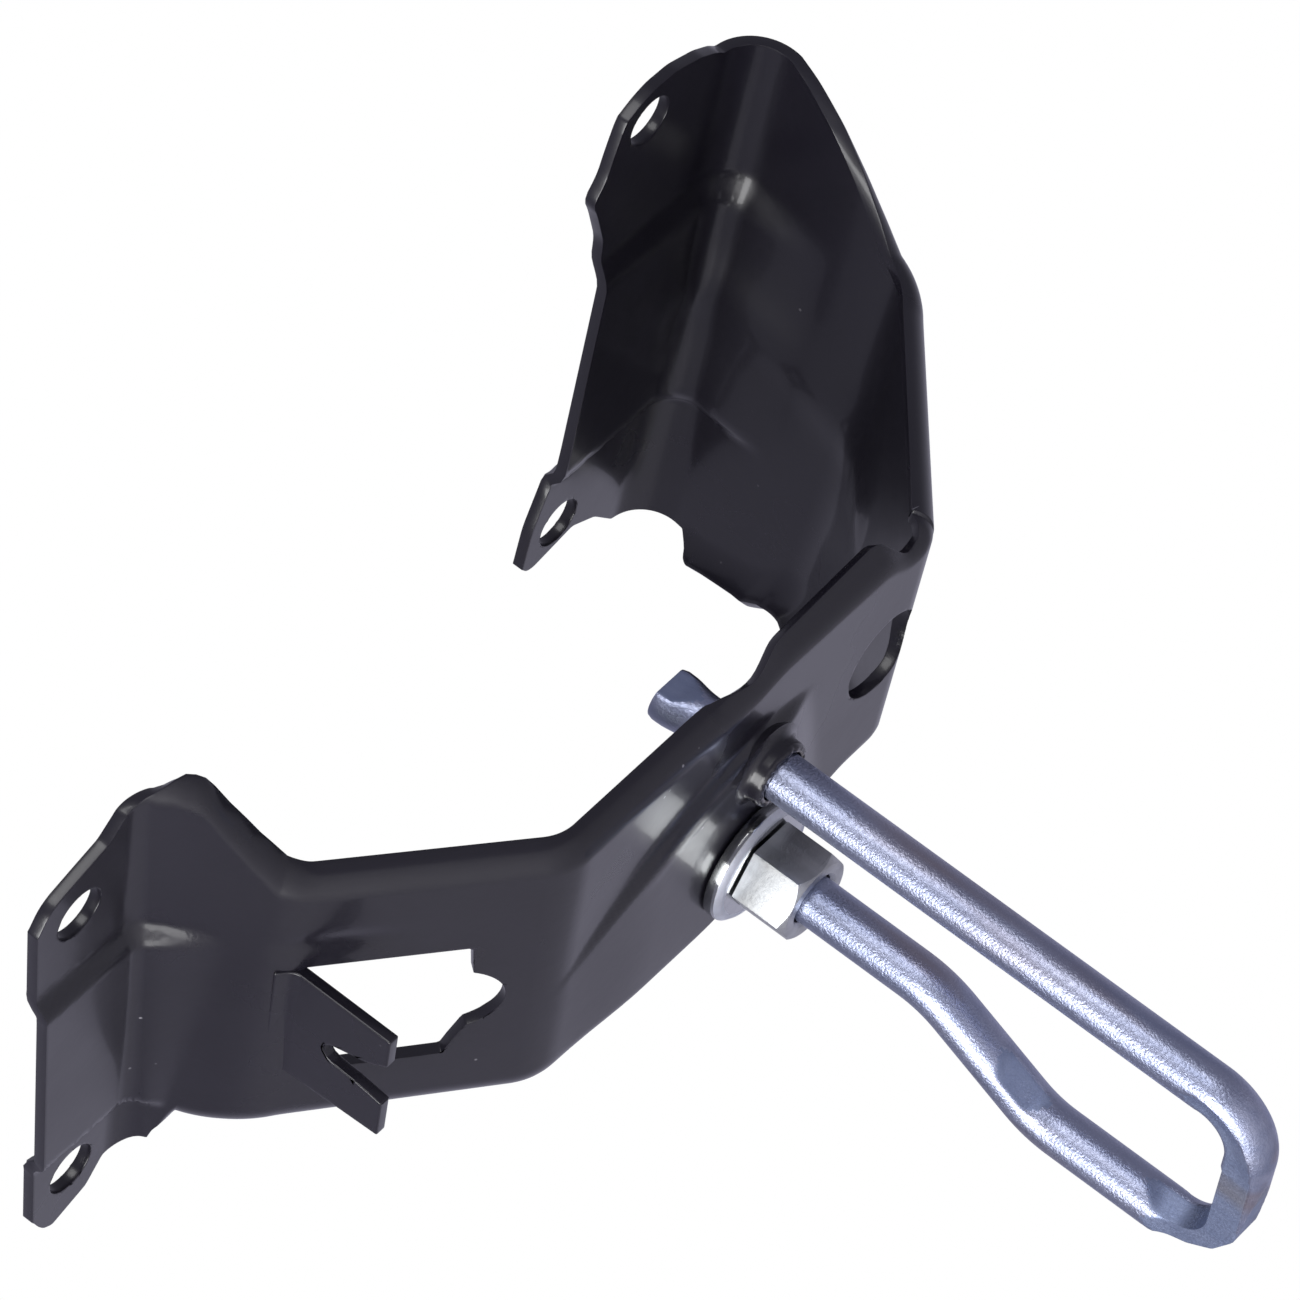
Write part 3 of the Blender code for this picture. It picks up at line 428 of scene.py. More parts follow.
def relief(label, x, y):
    """Outward lift of the pads, the seat, its crease and the shallow pressings, in mm."""
    pad_a = ramp(-17.9, -14.5, y) * (1.0 - ramp(25.8, 28.2, y))
    lift = PAD_RISE * pad_a * (1.0 - ramp(1.0, 1.75, label)) * (label < 2.0)
    pad_b = ramp(-24.4, -17.6, y) * (1.0 - ramp(24.6, 27.4, y))
    lift -= PAD_RISE * pad_b * ramp(5.4, 5.95, label) * (label > 5.2)
    panel = (label > 2.9) & (label < 4.0)
    upper = -19.5 + 0.011 * (x - 1.0) ** 2
    right = 8.0 + 0.25 * y
    seat = ramp(-46.0, -22.0, x) * (1.0 - ramp(right, right + 9.0, x))
    seat *= ramp(0.0, 3.2, y - upper) * (1.0 - ramp(22.6, 27.0, y))
    lift += SEAT_RISE * seat * panel
    ridge = np.exp(-((y - upper - 5.4) / 1.2) ** 2) * ramp(-30, -20, x) * (1 - ramp(-7, -2, x))
    lift += CREASE_RISE * ridge * panel
    dimple = np.exp(-(((x + 71.0) / 5.5) ** 2 + ((y + 16.0) / 2.2) ** 2))
    lift -= DIMPLE_DEPTH * dimple * (label > 1.8) * (label < 2.9)
    trough = np.exp(-((y - 6.0 + 7.0 * (label - 5.0)) / 6.5) ** 2) * ramp(4.62, 4.78, label)
    trough *= 1.0 - ramp(6.2, 6.6, label)
    lift -= TROUGH_DEPTH * trough * (label > 4.5)
    return lift


print("seat rises", SEAT_RISE, "mm and the pads", PAD_RISE, "mm")

# %% Grid over the blank
STATIONS, ACROSS = 440, 96
bpy.ops.object.select_all(action="DESELECT")
bpy.ops.mesh.primitive_grid_add(x_subdivisions=STATIONS, y_subdivisions=ACROSS, size=1.0)
sheet = bpy.context.active_object
sheet.name = "bracket_sheet"
count = len(sheet.data.vertices)
unit = np.empty(count * 3)
sheet.data.vertices.foreach_get("co", unit)
unit = unit.reshape(-1, 3)
along = unit[:, 0] + 0.5
share = unit[:, 1] + 0.5
# Stations stand closer together in the bends than on the flats
FLAT_WEIGHTS = (20, 10, 30, 46, 34, 28, 30)
BEND_WEIGHTS = (12, 14, 12, 12, 12, 12)
spent, marks = [0.0], [0.0]
for i in range(6):
    spent += [spent[-1] + FLAT_WEIGHTS[i], spent[-1] + FLAT_WEIGHTS[i] + BEND_WEIGHTS[i]]
    marks += [i + 1.0 - BEND, i + 1.0 + BEND]
spent.append(spent[-1] + FLAT_WEIGHTS[6])
marks.append(7.0)
label = np.interp(along * spent[-1], spent, marks)
print("sheet points:", count)

# %% Rows across the sheet
# Lengths along the sheet from the end of its flat to each edge; a strip of at least 5 mm
# next to each edge gets 14% of the rows, so that the rows never crowd where nothing rolls
LIP_R = 4.6
EDGE_SHARE = 0.14
EDGE_STRIP = 5.0
top_roll = np.radians(edge_line(TOP_ROLL, label, 0.03))
low_roll = np.radians(edge_line(LOW_ROLL, label))
low_r = edge_line(LOW_RADIUS, label)
run = edge_line(TOP_RUN, label, 0.02)
flanged = (label > 3.40) & (label < 4.05)
top_flat = np.where(flanged, -30.5 + LIP_R + edge_line(TOP_FLAT, label, 0.02),
                    edge_line(TOP_EDGE, label) + LIP_R * np.sin(top_roll))
low_flat = edge_line(LOW_EDGE, label, 0.03) - low_r * np.sin(low_roll)
top_arc = LIP_R * top_roll
low_arc = low_r * low_roll
top_end = top_arc + run
top_strip = np.maximum(top_end + 0.5, EDGE_STRIP)
low_strip = np.maximum(low_arc + 0.5, EDGE_STRIP)
near_top = np.clip((EDGE_SHARE - share) / EDGE_SHARE, 0.0, 1.0)
near_low = np.clip((share - 1.0 + EDGE_SHARE) / EDGE_SHARE, 0.0, 1.0)
mid = np.clip((share - EDGE_SHARE) / (1.0 - 2.0 * EDGE_SHARE), 0.0, 1.0)
flat_a = top_flat + (top_strip - top_end)
flat_b = low_flat - (low_strip - low_arc)
y = flat_a + (flat_b - flat_a) * mid
beyond = np.where(near_top > 0.0, near_top * top_strip - (top_strip - top_end), -1.0)
a_top = np.clip(beyond, 0.0, top_arc) / LIP_R
tail = np.clip(beyond - top_arc, 0.0, None)
y = np.where(near_top > 0.0, top_flat - np.minimum(beyond, 0.0) - LIP_R * np.sin(a_top)
             - tail * np.cos(top_roll), y)
past = np.where(near_low > 0.0, near_low * low_strip - (low_strip - low_arc), -1.0)
a_low = np.clip(past, 0.0, low_arc) / low_r
y = np.where(near_low > 0.0, low_flat + np.minimum(past, 0.0) + low_r * np.sin(a_low), y)
drop = LIP_R * (1 - np.cos(a_top)) + tail * np.sin(top_roll) + low_r * (1 - np.cos(a_low))
print("y of the sheet from", y.min().round(1), "to", y.max().round(1))

# %% Carry the points to the folded sheet
# x of the free edge of foot B wanders along y, with a step at the upper ear
EAR = [(-58.0, -1.5), (-54.5, -3.3), (-49.0, -4.3), (-44.0, -4.9), (-40.5, -7.0), (-37.0, -5.0),
       (-28.5, -1.2), (-20.0, 0.0), (20.0, 1.6), (27.0, 1.6), (37.0, -0.8), (46.0, -1.0)]
ear_y, ear_x = zip(*EAR)
spot, outward = folded(label, y)
ear = sum(np.interp(y + k, ear_y, ear_x) for k in (-1.2, 0.0, 1.2)) / 3.0 * ramp(6.55, 7.0, label)
lift = relief(label, spot[:, 0], y) - drop
placed = np.stack([spot[:, 0] + ear + outward[:, 0] * lift, y,
                   -(spot[:, 1]) - outward[:, 1] * lift], -1) * MM
sheet.data.vertices.foreach_set("co", placed.ravel())
sheet.data.update()
print("sheet spans", [round(v * 1000.0, 1) for v in sheet.dimensions], "mm")

# %% Thickness
PANEL_MIDDLE = Vector((0.02, 0.012, -0.046))
select_only(sheet)
bpy.ops.object.mode_set(mode="EDIT")
bpy.ops.mesh.select_all(action="SELECT")
bpy.ops.mesh.normals_make_consistent(inside=False)
bpy.ops.object.mode_set(mode="OBJECT")
middle = min(sheet.data.polygons, key=lambda p: (p.center - PANEL_MIDDLE).length)
if middle.normal.z > 0.0:
    sheet.data.flip_normals()
thick = sheet.modifiers.new("sheet thickness", "SOLIDIFY")
thick.thickness = SHEET * MM
thick.offset = -1.0
thick.use_rim = True
thick.material_offset_rim = 1
bpy.ops.object.modifier_apply(modifier=thick.name)
print("solid sheet faces:", len(sheet.data.polygons))

# %% [markdown]
# ## Openings
# The holes are punched after the sheet is folded, so each one is cut by a plain cylinder that
# stands square to its face. The window of the slanted flank has a round lobe on its right.
# Each new wall takes the material of a sheared and painted edge from its cutter.


# %% Cutting helper
def carve(obj, cutter, operation="DIFFERENCE"):
    """Cuts obj with cutter, keeps the cutter's material on the new walls, removes it."""
    select_only(obj)
    cut = obj.modifiers.new(cutter.name, "BOOLEAN")
    cut.operation = operation
    cut.solver = "EXACT"
    cut.object = cutter
    cut.material_mode = "TRANSFER"
    bpy.ops.object.modifier_apply(modifier=cut.name)
    bpy.data.objects.remove(cutter, do_unlink=True)


def settle(obj):
    """Puts an object's place, turn and scale into its mesh."""
    select_only(obj)
    bpy.ops.object.transform_apply(location=True, rotation=True, scale=True)


def punch(name, x, y, radius, low, high):
    """Round cutter along z between two depths below the hood plane, in mm."""
    bpy.ops.object.select_all(action="DESELECT")
    bpy.ops.mesh.primitive_cylinder_add(vertices=72, radius=radius * MM, depth=(high - low) * MM,
                                        location=(x * MM, y * MM, -(low + high) / 2.0 * MM))
    tool = bpy.context.active_object
    tool.name = name
    settle(tool)
    tool.data.materials.append(CUT_EDGE)
    return tool


sheet.data.materials.clear()
sheet.data.materials.append(ECOAT)
sheet.data.materials.append(CUT_EDGE)
for name, x, y, r, low, high in (
        ("foot a upper hole", -102.6, -31.7, 4.5, -6.0, 8.0),
        ("foot a lower hole", -98.8, 36.7, 4.5, -6.0, 8.0),
        ("foot b upper hole", 55.5, -50.5, 4.5, -34.0, -20.0),
        ("foot b lower hole", 48.5, 40.7, 4.5, -34.0, -20.0),
        ("panel hole", 30.8, -7.4, 8.0, 36.0, 56.0),
        ("plain leg bore", 0.0, -LEG_Y, 4.3, 30.0, 60.0),
        ("threaded leg bore", 0.0, LEG_Y, 4.5, 30.0, 60.0)):
    carve(sheet, punch(name, x, y, r, low, high))
print("faces after the holes:", len(sheet.data.polygons))

# %% Window
FLANK_A_FOOT = Vector(FOLDS[2][:2])
FLANK_A = (Vector(FOLDS[3][:2]) - FLANK_A_FOOT).normalized()
FLANK_A_OUT = Vector((-FLANK_A.y, FLANK_A.x))
WINDOW_LEFT = -75.4
WINDOW_LOW = 15.0
LOBE_X, LOBE_Y = -58.8, 2.1
outline = [(WINDOW_LEFT, -10.0), (WINDOW_LEFT + 0.6, -10.6), (-56.0, -10.6), (-55.5, -10.2)]
for k in range(25):
    turn = math.radians(-62.0 + 124.0 * k / 24)
    outline.append((LOBE_X + 8.0 * math.cos(turn), LOBE_Y + 7.4 * math.sin(turn)))
outline += [(-55.4, 9.4), (-56.6, 12.6), (-57.4, WINDOW_LOW), (WINDOW_LEFT, WINDOW_LOW)]
window = bpy.data.meshes.new("window_cutter")
bm = bmesh.new()
loop = []
for x, y in outline:
    s = (x - FLANK_A_FOOT.x) / FLANK_A.x
    on_flank = FLANK_A_FOOT + FLANK_A * s - FLANK_A_OUT * 6.0
    loop.append(bm.verts.new((on_flank.x * MM, y * MM, -on_flank.y * MM)))
bm.faces.new(loop)
bm.to_mesh(window)
bm.free()
window_tool = bpy.data.objects.new("window_cutter", window)
bpy.context.scene.collection.objects.link(window_tool)
window.materials.append(CUT_EDGE)
select_only(window_tool)
bpy.ops.object.mode_set(mode="EDIT")
bpy.ops.mesh.select_all(action="SELECT")
push = FLANK_A_OUT * 12.0 * MM
bpy.ops.mesh.extrude_region_move(TRANSFORM_OT_translate={"value": (push.x, 0.0, -push.y)})
bpy.ops.mesh.select_all(action="SELECT")
bpy.ops.mesh.normals_make_consistent(inside=False)
bpy.ops.object.mode_set(mode="OBJECT")
carve(sheet, window_tool)
print("faces after the window:", len(sheet.data.polygons))

# %% Eased edges of the stamping
select_only(sheet)
bpy.ops.object.mode_set(mode="EDIT")
bpy.ops.mesh.select_mode(type="EDGE")
bpy.ops.mesh.select_all(action="DESELECT")
bpy.ops.mesh.edges_select_sharp(sharpness=math.radians(48.0))
bpy.ops.mesh.bevel(offset=0.16 * MM, segments=2, profile=0.6, clamp_overlap=False)
bpy.ops.mesh.select_all(action="DESELECT")
bpy.ops.object.mode_set(mode="OBJECT")
bpy.ops.object.shade_smooth_by_angle(angle=math.radians(38.0))
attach(sheet, "bracket")
print("bracket faces:", len(sheet.data.polygons))

# %% [markdown]
# ## Forked tab
# A tab is lanced from the window's left edge and bent square to the hood. Its end is forked
# by a slot with a round floor, which holds a cable or a hose. It is drawn as a strip that
# follows the bend, thickened, and then slotted.

# %% Tab
TAB_RADIUS = 2.4
TAB_TIP = 39.8
TAB_SHEET = 1.94
ROW = 0.9
SUNK = 0.02  # the strip lies this far below the sheet's face, so that the two never flicker
root = FLANK_A_FOOT + FLANK_A * ((WINDOW_LEFT - FLANK_A_FOOT.x) / FLANK_A.x - TAB_RADIUS)
bend_hub = root + FLANK_A_OUT * TAB_RADIUS
turn_all = math.pi / 2 - math.atan2(FLANK_A.y, FLANK_A.x)
line = []
for k in range(-2, 0):
    line.append(root + FLANK_A * (ROW * k) - FLANK_A_OUT * SUNK)
for k in range(13):
    a = turn_all * k / 12
    arm = -FLANK_A_OUT
    d = Vector((arm.x * math.cos(a) - arm.y * math.sin(a), arm.x * math.sin(a) + arm.y * math.cos(a)))
    line.append(bend_hub + d * (TAB_RADIUS + SUNK))
start_depth = line[-1].y
while line[-1].y < TAB_TIP - ROW:
    line.append(line[-1] + Vector((0.0, ROW)))
line.append(Vector((line[-1].x, TAB_TIP)))
print("tab from depth", round(line[0].y, 1), "to", TAB_TIP, "x", round(line[-1].x, 1))

# %% Tab as a strip of sheet
bpy.ops.object.select_all(action="DESELECT")
bpy.ops.mesh.primitive_grid_add(x_subdivisions=len(line) - 1, y_subdivisions=24, size=1.0)
tab = bpy.context.active_object
tab.name = "forked_tab"
for v in tab.data.vertices:
    p = line[round((v.co.x + 0.5) * (len(line) - 1))]
    reach = max(0.0, (p.y - start_depth) / (TAB_TIP - start_depth))
    low_y = 14.4 - 1.2 * reach
    high_y = -10.2
    y_mm = high_y + (low_y - high_y) * (v.co.y + 0.5)
    v.co = Vector((p.x, y_mm, -p.y)) * MM
select_only(tab)
bpy.ops.object.mode_set(mode="EDIT")
bpy.ops.mesh.select_all(action="SELECT")
bpy.ops.mesh.normals_make_consistent(inside=False)
bpy.ops.object.mode_set(mode="OBJECT")
face = min(tab.data.polygons, key=lambda p: p.center.z)
if face.normal.x < 0.0:
    tab.data.flip_normals()
thick = tab.modifiers.new("tab thickness", "SOLIDIFY")
thick.thickness = TAB_SHEET * MM
thick.offset = 1.0
thick.material_offset_rim = 1
bpy.ops.object.modifier_apply(modifier=thick.name)
tab.data.materials.append(ECOAT)
tab.data.materials.append(CUT_EDGE)
print("strip faces:", len(tab.data.polygons))

# %% Slot of the tab
# y and height above the tip, in mm
SLOT = [(-4.6, -1.2), (-4.1, 0.0), (-2.4, 2.5), (-1.6, 3.9), (-0.6, 7.0), (0.4, 9.9), (1.0, 10.9),
        (1.6, 11.4), (2.4, 11.6), (3.2, 11.3), (3.8, 10.6), (4.2, 9.4), (4.4, 7.4), (4.5, 5.4),
        (4.9, 2.4), (5.3, 0.0), (5.6, -1.2)]
slot_mesh = bpy.data.meshes.new("slot_cutter")
bm = bmesh.new()
slot_x = line[-1].x - 6.0
bm.faces.new([bm.verts.new(Vector((slot_x, y, up - TAB_TIP)) * MM) for y, up in SLOT])
bm.to_mesh(slot_mesh)
bm.free()
slot_tool = bpy.data.objects.new("slot_cutter", slot_mesh)
bpy.context.scene.collection.objects.link(slot_tool)
slot_mesh.materials.append(CUT_EDGE)
select_only(slot_tool)
bpy.ops.object.mode_set(mode="EDIT")
bpy.ops.mesh.select_all(action="SELECT")
bpy.ops.mesh.extrude_region_move(TRANSFORM_OT_translate={"value": (12.0 * MM, 0.0, 0.0)})
bpy.ops.mesh.select_all(action="SELECT")
bpy.ops.mesh.normals_make_consistent(inside=False)
bpy.ops.object.mode_set(mode="OBJECT")
carve(tab, slot_tool)
select_only(tab)
bpy.ops.object.mode_set(mode="EDIT")
bpy.ops.mesh.select_mode(type="EDGE")
bpy.ops.mesh.select_all(action="DESELECT")
bpy.ops.mesh.edges_select_sharp(sharpness=math.radians(40.0))
bpy.ops.mesh.bevel(offset=0.3 * MM, segments=3, profile=0.6, clamp_overlap=False)
bpy.ops.mesh.select_all(action="DESELECT")
bpy.ops.object.mode_set(mode="OBJECT")
bpy.ops.object.shade_smooth_by_angle(angle=math.radians(38.0))
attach(tab, "bracket")
print("tab faces:", len(tab.data.polygons))

# %% [markdown]
# ## Drawn neck
# Round the plain leg the sheet is drawn out into a short neck, and its torn rim is the one
# ragged edge of the part. A profile is spun round the leg's axis; the rim is then roughened
# by sinking its points a few tenths of a millimetre.

# %% Neck
RIM_DEPTH = 50.4
neck_profile = [(4.32, 45.4), (4.32, 50.7), (4.42, 50.94), (4.72, 51.02), (5.3, 50.96), (5.55, 50.7),
                (5.66, 50.1), (5.7, 49.0), (5.9, 48.3), (6.5, 47.8), (7.4, 47.55), (7.4, 46.4)]
neck_mesh = bpy.data.meshes.new("drawn_neck")
bm = bmesh.new()
chain = [bm.verts.new((r * MM, -LEG_Y * MM, -d * MM)) for r, d in neck_profile]
for a, b in zip(chain, chain[1:]):
    bm.edges.new((a, b))
bm.to_mesh(neck_mesh)
bm.free()
neck = bpy.data.objects.new("drawn_neck", neck_mesh)
bpy.context.scene.collection.objects.link(neck)
select_only(neck)
bpy.ops.object.mode_set(mode="EDIT")
bpy.ops.mesh.select_all(action="SELECT")
bpy.ops.mesh.spin(steps=72, angle=2.0 * math.pi, center=(0.0, -LEG_Y * MM, 0.0), axis=(0.0, 0.0, 1.0))
bpy.ops.mesh.select_all(action="SELECT")
bpy.ops.mesh.remove_doubles(threshold=0.00002)
bpy.ops.object.mode_set(mode="OBJECT")
for v in neck.data.vertices:
    if -v.co.z / MM > RIM_DEPTH:
        turn = math.atan2(v.co.y / MM + LEG_Y, v.co.x / MM)
        ragged = 0.16 * math.sin(17 * turn) + 0.12 * math.sin(29 * turn + 1.3)
        ragged += 0.1 * math.sin(7 * turn)
        v.co.z += max(-ragged, 0.0) * MM
neck.data.materials.append(ECOAT)
neck.data.materials.append(TORN_EDGE)
for p in neck.data.polygons:
    reach = math.hypot(p.center.x, p.center.y + LEG_Y * MM) / MM
    if -p.center.z / MM > RIM_DEPTH and 4.34 < reach < 4.8:
        p.material_index = 1
select_only(neck)
bpy.ops.object.mode_set(mode="EDIT")
bpy.ops.mesh.select_all(action="SELECT")
bpy.ops.mesh.edge_face_add()
bpy.ops.mesh.normals_make_consistent(inside=False)
bpy.ops.object.mode_set(mode="OBJECT")
bpy.ops.object.shade_smooth_by_angle(angle=math.radians(40.0))
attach(neck, "bracket")
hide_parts("bracket")
print("neck faces:", len(neck.data.polygons))

# %% [markdown]
# ## Striker hoop
# The hoop is 8 mm rod bent in one plane. Its crossbar is coined flat on both sides where the
# lock's claw closes on it, the bow has a pressed flat, and the blind end of the plain leg is
# pinched so that it can't pull out. The rod is swept along its centre line ring by ring,
# because the flats fade in and out along it, which a bevelled curve can't do.

# %% Centre line of the hoop
# y, depth and bend radius at each corner of the centre line, from the plain leg's tip
ROD_R = 4.0
BOW_Y = LEG_Y + 11.2
CROSSBAR = 140.0
RING_STEP = 0.8
CORNERS = [(-LEG_Y, 28.6, 0.0), (-LEG_Y, CROSSBAR, 8.5), (BOW_Y, CROSSBAR, 8.5),
           (BOW_Y, 106.0, 16.0), (LEG_Y, 84.0, 18.0), (LEG_Y, 33.0, 0.0)]
centre_line = []
for i, (y, d, r) in enumerate(CORNERS):
    c = Vector((y, d))
    if r == 0.0:
        centre_line.append(c)
        continue
    a = (Vector(CORNERS[i - 1][:2]) - c).normalized()
    b = (Vector(CORNERS[i + 1][:2]) - c).normalized()
    opening = a.angle(b)
    hub = c + (a + b).normalized() * (r / math.sin(opening / 2.0))
    first = c + a * (r / math.tan(opening / 2.0)) - hub
    last = c + b * (r / math.tan(opening / 2.0)) - hub
    sweep = first.angle(last)
    side = 1.0 if first.x * last.y - first.y * last.x > 0.0 else -1.0
    steps = max(8, int(math.degrees(sweep) / 4.0))
    for k in range(steps + 1):
        turn = side * sweep * k / steps
        centre_line.append(hub + Vector((first.x * math.cos(turn) - first.y * math.sin(turn),
                                         first.x * math.sin(turn) + first.y * math.cos(turn))))
even = [centre_line[0]]
for a, b in zip(centre_line, centre_line[1:]):
    steps = max(1, round((b - a).length / RING_STEP))
    even.extend(a.lerp(b, k / steps) for k in range(1, steps + 1))
print("rings along the rod:", len(even))


# %% Section of the rod
ROD_SIDES = 56
COINED_HALF = 2.9     # half the thickness between the two coined faces of the crossbar
PRESSED = 1.0         # how deep the inner flats and the pinch are pressed into the rod
FLAT_LEAN = 0.34      # rise of the inner flats per mm towards the side
PINCH_SPREAD = 0.7    # how much the pinched tip spreads sideways
SEEN_AS_FLAT = 0.03   # a point moved by more than this belongs to a flat


def rod_section(p):
    """Offsets (across, sideways) of the rod's outline at p and which of them are flats.

    p is (y, depth). The share of each flat at that depth comes from smooth steps, so the
    flats fade in and out along the rod.
    """
    bow_side = p.x > 0.0
    pinch = 0.0 if bow_side else 1.0 - float(ramp(30.4, 35.2, p.y))
    end = float(ramp(127.5, 132.6, p.y))
    side = ROD_R + (COINED_HALF - ROD_R) * end + 0.8 * pinch
    spare = 1.5 * (1.0 - float(ramp(-LEG_Y, 2.0, p.x))) * end
    flat = 0.0
    if bow_side:
        bow = float(ramp(95.0, 98.0, p.y)) * (1.0 - float(ramp(103.0, 107.5, p.y)))
        flat = max(bow, float(ramp(125.0, 129.5, p.y)))
    inner = ROD_R - PRESSED * max(end, flat)
    half_u = ROD_R - PRESSED * pinch
    ring = []
    for s in range(ROD_SIDES):
        a = 2.0 * math.pi * s / ROD_SIDES
        u = ROD_R * math.cos(a)
        v = (ROD_R + PINCH_SPREAD * pinch) * math.sin(a)
        limit = side + spare * max(0.0, u / ROD_R + 0.25)
        v2 = max(-limit, min(limit, v))
        u2 = max(-min(half_u, inner + FLAT_LEAN * flat * (v2 + 1.2)), min(half_u, u))
        ring.append((u2, v2, abs(u2 - u) > SEEN_AS_FLAT or abs(v2 - v) > SEEN_AS_FLAT))
    return ring


crossbar = rod_section(Vector((0.0, CROSSBAR)))
print("crossbar is", round(max(v for u, v, is_flat in crossbar) * 2.0, 1), "mm thick")

# %% Squeezed corner
# The die that coins the crossbar also squeezes the outside of its lower corner inwards. Its
# face there is a chain of (y, depth) points, and no point of the rod lies beyond it.
CORNER = [Vector(c) for c in ((1.0, 144.0), (14.6, 142.5), (19.2, 139.6), (21.9, 135.4),
                              (24.0, 129.5), (26.2, 118.0))]


def squeeze(q):
    """Moves a point (y, depth) that lies outside the corner's die back onto it."""
    moved = False
    for a, b in zip(CORNER, CORNER[1:]):
        out = Vector((-(b - a).y, (b - a).x)).normalized()
        over = (q - a).dot(out)
        if over > 0.0:
            q = q - out * over
            moved = True
    return q, moved


print("corner point of the round rod goes to", squeeze(Vector((22.5, 140.3)))[0])

# %% Sweep of the hoop
bm = bmesh.new()
rings, flags = [], []
last_index = len(even) - 1
for k, p in enumerate(even):
    a, b = even[max(k - 1, 0)], even[min(k + 1, last_index)]
    t = (b - a).normalized()
    across = Vector((-t.y, t.x))
    row, mark = [], []
    shrink = {0: 0.95, last_index: 0.84}.get(k, 1.0)
    for u, v, is_flat in rod_section(p):
        q, pressed = squeeze(p + across * (u * shrink))
        row.append(bm.verts.new(Vector((v * shrink, q.x, -q.y)) * MM))
        mark.append(is_flat or pressed)
    rings.append(row)
    flags.append(mark)
bm.faces.new(rings[0])
bm.faces.new(list(reversed(rings[-1])))
for r0, r1, m in zip(rings, rings[1:], flags):
    for j in range(len(r0)):
        i = (j + 1) % len(r0)
        f = bm.faces.new((r0[j], r0[i], r1[i], r1[j]))
        f.material_index = 1 if m[j] and m[i] else 0
hoop_mesh = bpy.data.meshes.new("striker_rod")
bm.to_mesh(hoop_mesh)
bm.free()
hoop = bpy.data.objects.new("striker_rod", hoop_mesh)
bpy.context.scene.collection.objects.link(hoop)
hoop_mesh.materials.append(ZINC_ROD)
hoop_mesh.materials.append(ZINC_COINED)
select_only(hoop)
bpy.ops.object.mode_set(mode="EDIT")
bpy.ops.mesh.select_all(action="SELECT")
bpy.ops.mesh.normals_make_consistent(inside=False)
bpy.ops.object.mode_set(mode="OBJECT")
bpy.ops.object.shade_smooth_by_angle(angle=math.radians(26.0))
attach(hoop, "striker")
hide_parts("striker_hoop")
print("hoop faces:", len(hoop_mesh.polygons))

# %% [markdown]
# ## Nuts
# A cold-formed hexagon nut is a hexagon whose corners are cut by a cone, and its bore has a
# countersink. The hexagon is a six-sided cylinder, and a spun double cone takes its corners
# off, which leaves the curved edge that each flat of a real nut has.


# %% Turned pieces
def spun(name, profile, turns, material):
    """Closed profile of (radius, depth) spun round the threaded leg's axis."""
    mesh = bpy.data.meshes.new(name)
    shape = bmesh.new()
    verts = [shape.verts.new((r * MM, LEG_Y * MM, -d * MM)) for r, d in profile]
    for a, b in zip(verts, verts[1:] + verts[:1]):
        shape.edges.new((a, b))
    shape.to_mesh(mesh)
    shape.free()
    obj = bpy.data.objects.new(name, mesh)
    bpy.context.scene.collection.objects.link(obj)
    select_only(obj)
    bpy.ops.object.mode_set(mode="EDIT")
    bpy.ops.mesh.select_all(action="SELECT")
    bpy.ops.mesh.spin(steps=turns, angle=2.0 * math.pi, center=(0.0, LEG_Y * MM, 0.0), axis=(0, 0, 1))
    bpy.ops.mesh.select_all(action="SELECT")
    bpy.ops.mesh.remove_doubles(threshold=0.00001)
    bpy.ops.mesh.normals_make_consistent(inside=False)
    bpy.ops.object.mode_set(mode="OBJECT")
    mesh.materials.append(material)
    return obj


print("spun() makes the nuts' cones, the skirt and the washer")

# %% Hexagon with turned corners
NUT_TURNS = 96
EASE = 0.14


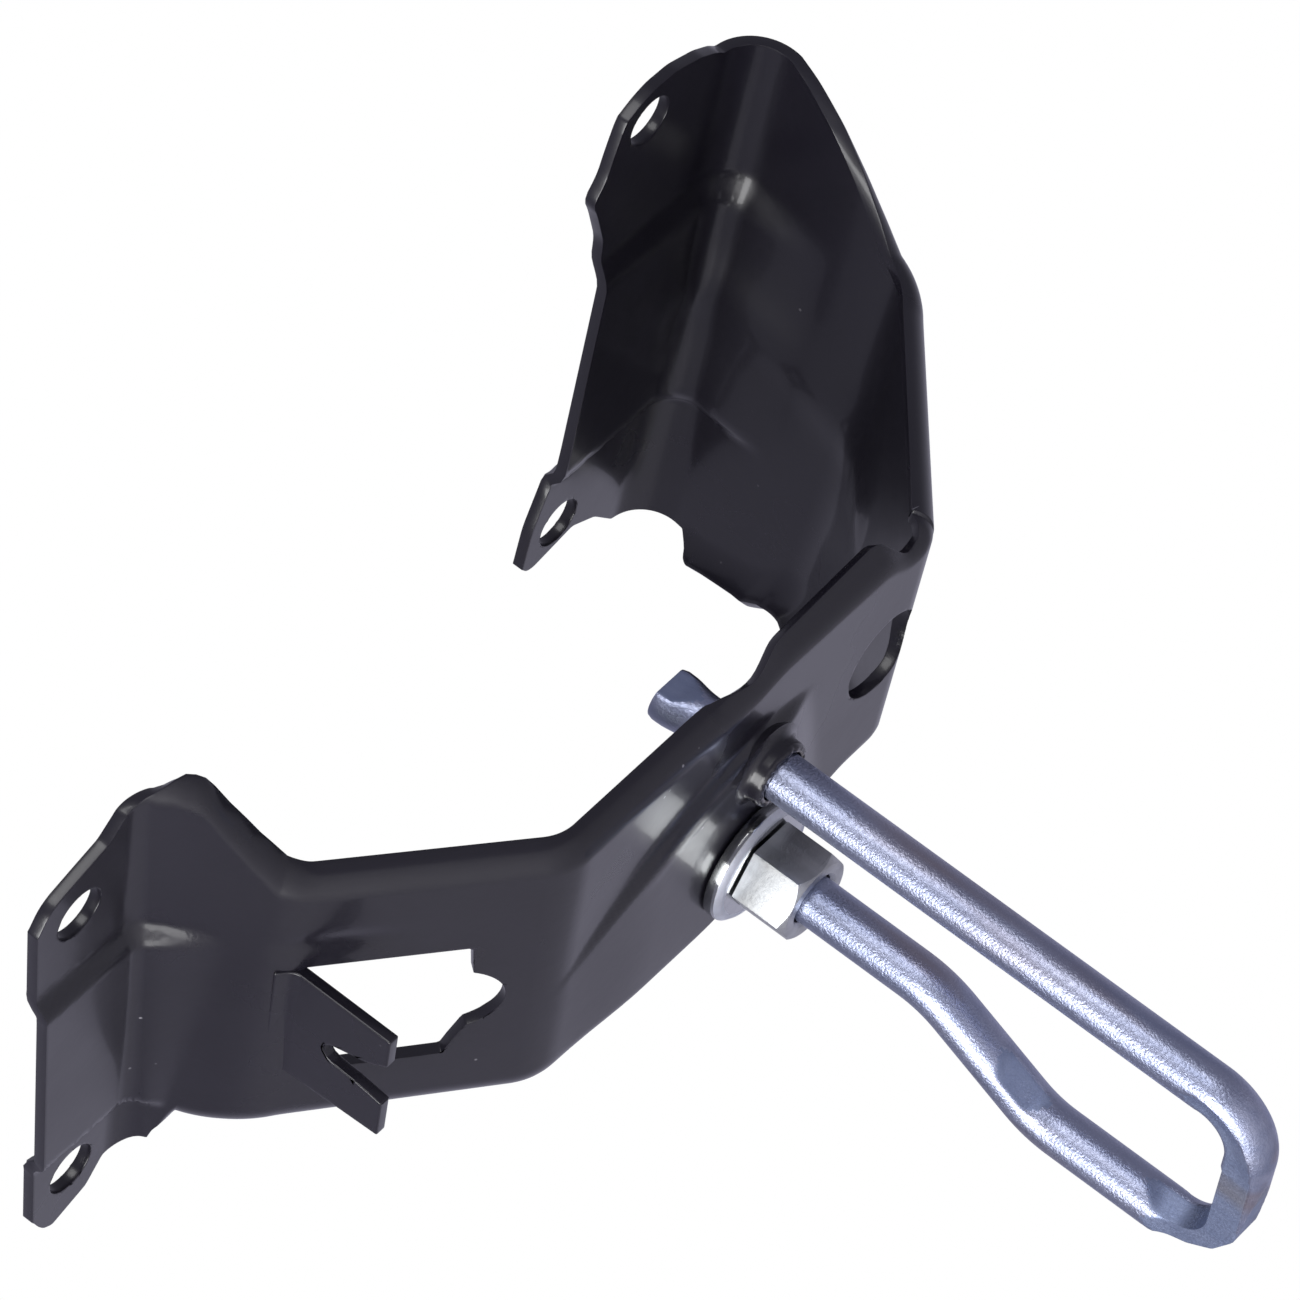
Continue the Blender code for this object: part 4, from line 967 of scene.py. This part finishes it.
def hexagon(name, low, high, across_flats, cone_low, cone_high, material):
    """Nut between two depths; cone_low and cone_high say how far each end's corners are cut."""
    bpy.ops.object.select_all(action="DESELECT")
    bpy.ops.mesh.primitive_cylinder_add(vertices=6, radius=across_flats / math.sqrt(3.0) * MM,
                                        depth=(high - low) * MM,
                                        location=(0.0, LEG_Y * MM, -(low + high) / 2.0 * MM))
    nut = bpy.context.active_object
    nut.name = name
    nut.data.materials.append(material)
    select_only(nut)
    bpy.ops.transform.rotate(value=math.radians(-90.0), orient_axis="Z",
                             center_override=(0.0, LEG_Y * MM, 0.0))
    settle(nut)
    corner = across_flats / math.sqrt(3.0)
    half = across_flats / 2.0
    # The lathe's profile: a cone at each end that is cut, room round the corners between the
    # two, and the bore with its countersink
    turned = [(4.32, low - 0.01), (half - 0.15 if cone_low else corner + 1.0, low - 0.01),
              (corner + 0.6, low + cone_low + 0.3), (corner + 0.6, high - cone_high - 0.3),
              (half - 0.15 if cone_high else corner + 1.0, high + 0.01), (5.0, high + 0.01),
              (4.34, high - 0.6), (4.34, low + 0.6)]
    if cone_low == 0.0:
        turned[2] = (corner + 1.0, low + 0.5)
    lathe = spun(name + "_turned", turned, NUT_TURNS, material)
    carve(nut, lathe, "INTERSECT")
    select_only(nut)
    bpy.ops.object.mode_set(mode="EDIT")
    bpy.ops.mesh.select_mode(type="EDGE")
    bpy.ops.mesh.select_all(action="DESELECT")
    bpy.ops.mesh.edges_select_sharp(sharpness=math.radians(24.0))
    bpy.ops.mesh.bevel(offset=EASE * MM, segments=2, profile=0.6, clamp_overlap=False)
    bpy.ops.mesh.select_all(action="DESELECT")
    bpy.ops.object.mode_set(mode="OBJECT")
    bpy.ops.object.shade_smooth_by_angle(angle=math.radians(20.0))
    return nut


print("hexagon() cuts a nut's corners and eases its edges by", EASE, "mm")

# %% Both nuts
front_nut = hexagon("clamp_nut", 51.0, 60.6, 14.0, 0.0, 1.3, ZINC_NUT)
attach(front_nut, "front_nut")
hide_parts("front_nut")
rear_nut = hexagon("rear_nut_hexagon", 38.9, 44.0, 13.0, 1.2, 0.0, ZINC_NUT)
rear_skirt = spun("rear_nut_skirt", [(4.34, 45.28), (4.34, 43.4), (6.2, 43.3), (7.4, 43.6),
                                     (8.6, 44.3), (8.95, 44.6), (8.95, 45.1), (8.8, 45.28)],
                  NUT_TURNS, ZINC_NUT)
select_only(rear_skirt)
bpy.ops.object.shade_smooth_by_angle(angle=math.radians(30.0))
for piece in (rear_nut, rear_skirt):
    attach(piece, "rear_nut")
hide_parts("rear_nut")
print("nut faces:", len(front_nut.data.polygons), len(rear_nut.data.polygons))

# %% [markdown]
# ## Washer
# The thick washer has a bright turned rim, whose side reflects the dark bracket in bands, and
# on the nut's side a wide chamfer that stays pale and matt.

# %% Washer
CHAMFER_DEPTH, CHAMFER_RADIUS = 49.9, 9.5
washer = spun("thick_washer", [(4.4, 50.68), (4.4, 48.0), (4.6, 47.9), (10.6, 47.9),
                               (10.9, 48.02), (11.0, 48.3), (11.0, 49.75), (10.92, 49.92),
                               (10.1, 50.62), (9.9, 50.7), (9.2, 50.7)], 120, ZINC_WASHER)
select_only(washer)
bpy.ops.object.shade_smooth_by_angle(angle=math.radians(30.0))
washer.data.materials.append(ZINC_BAND)
for p in washer.data.polygons:
    reach = math.hypot(p.center.x, p.center.y - LEG_Y * MM) / MM
    if -p.center.z / MM > CHAMFER_DEPTH and reach > CHAMFER_RADIUS:
        p.material_index = 1
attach(washer, "bracket")
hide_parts("front_washer")
print("washer faces:", len(washer.data.polygons))
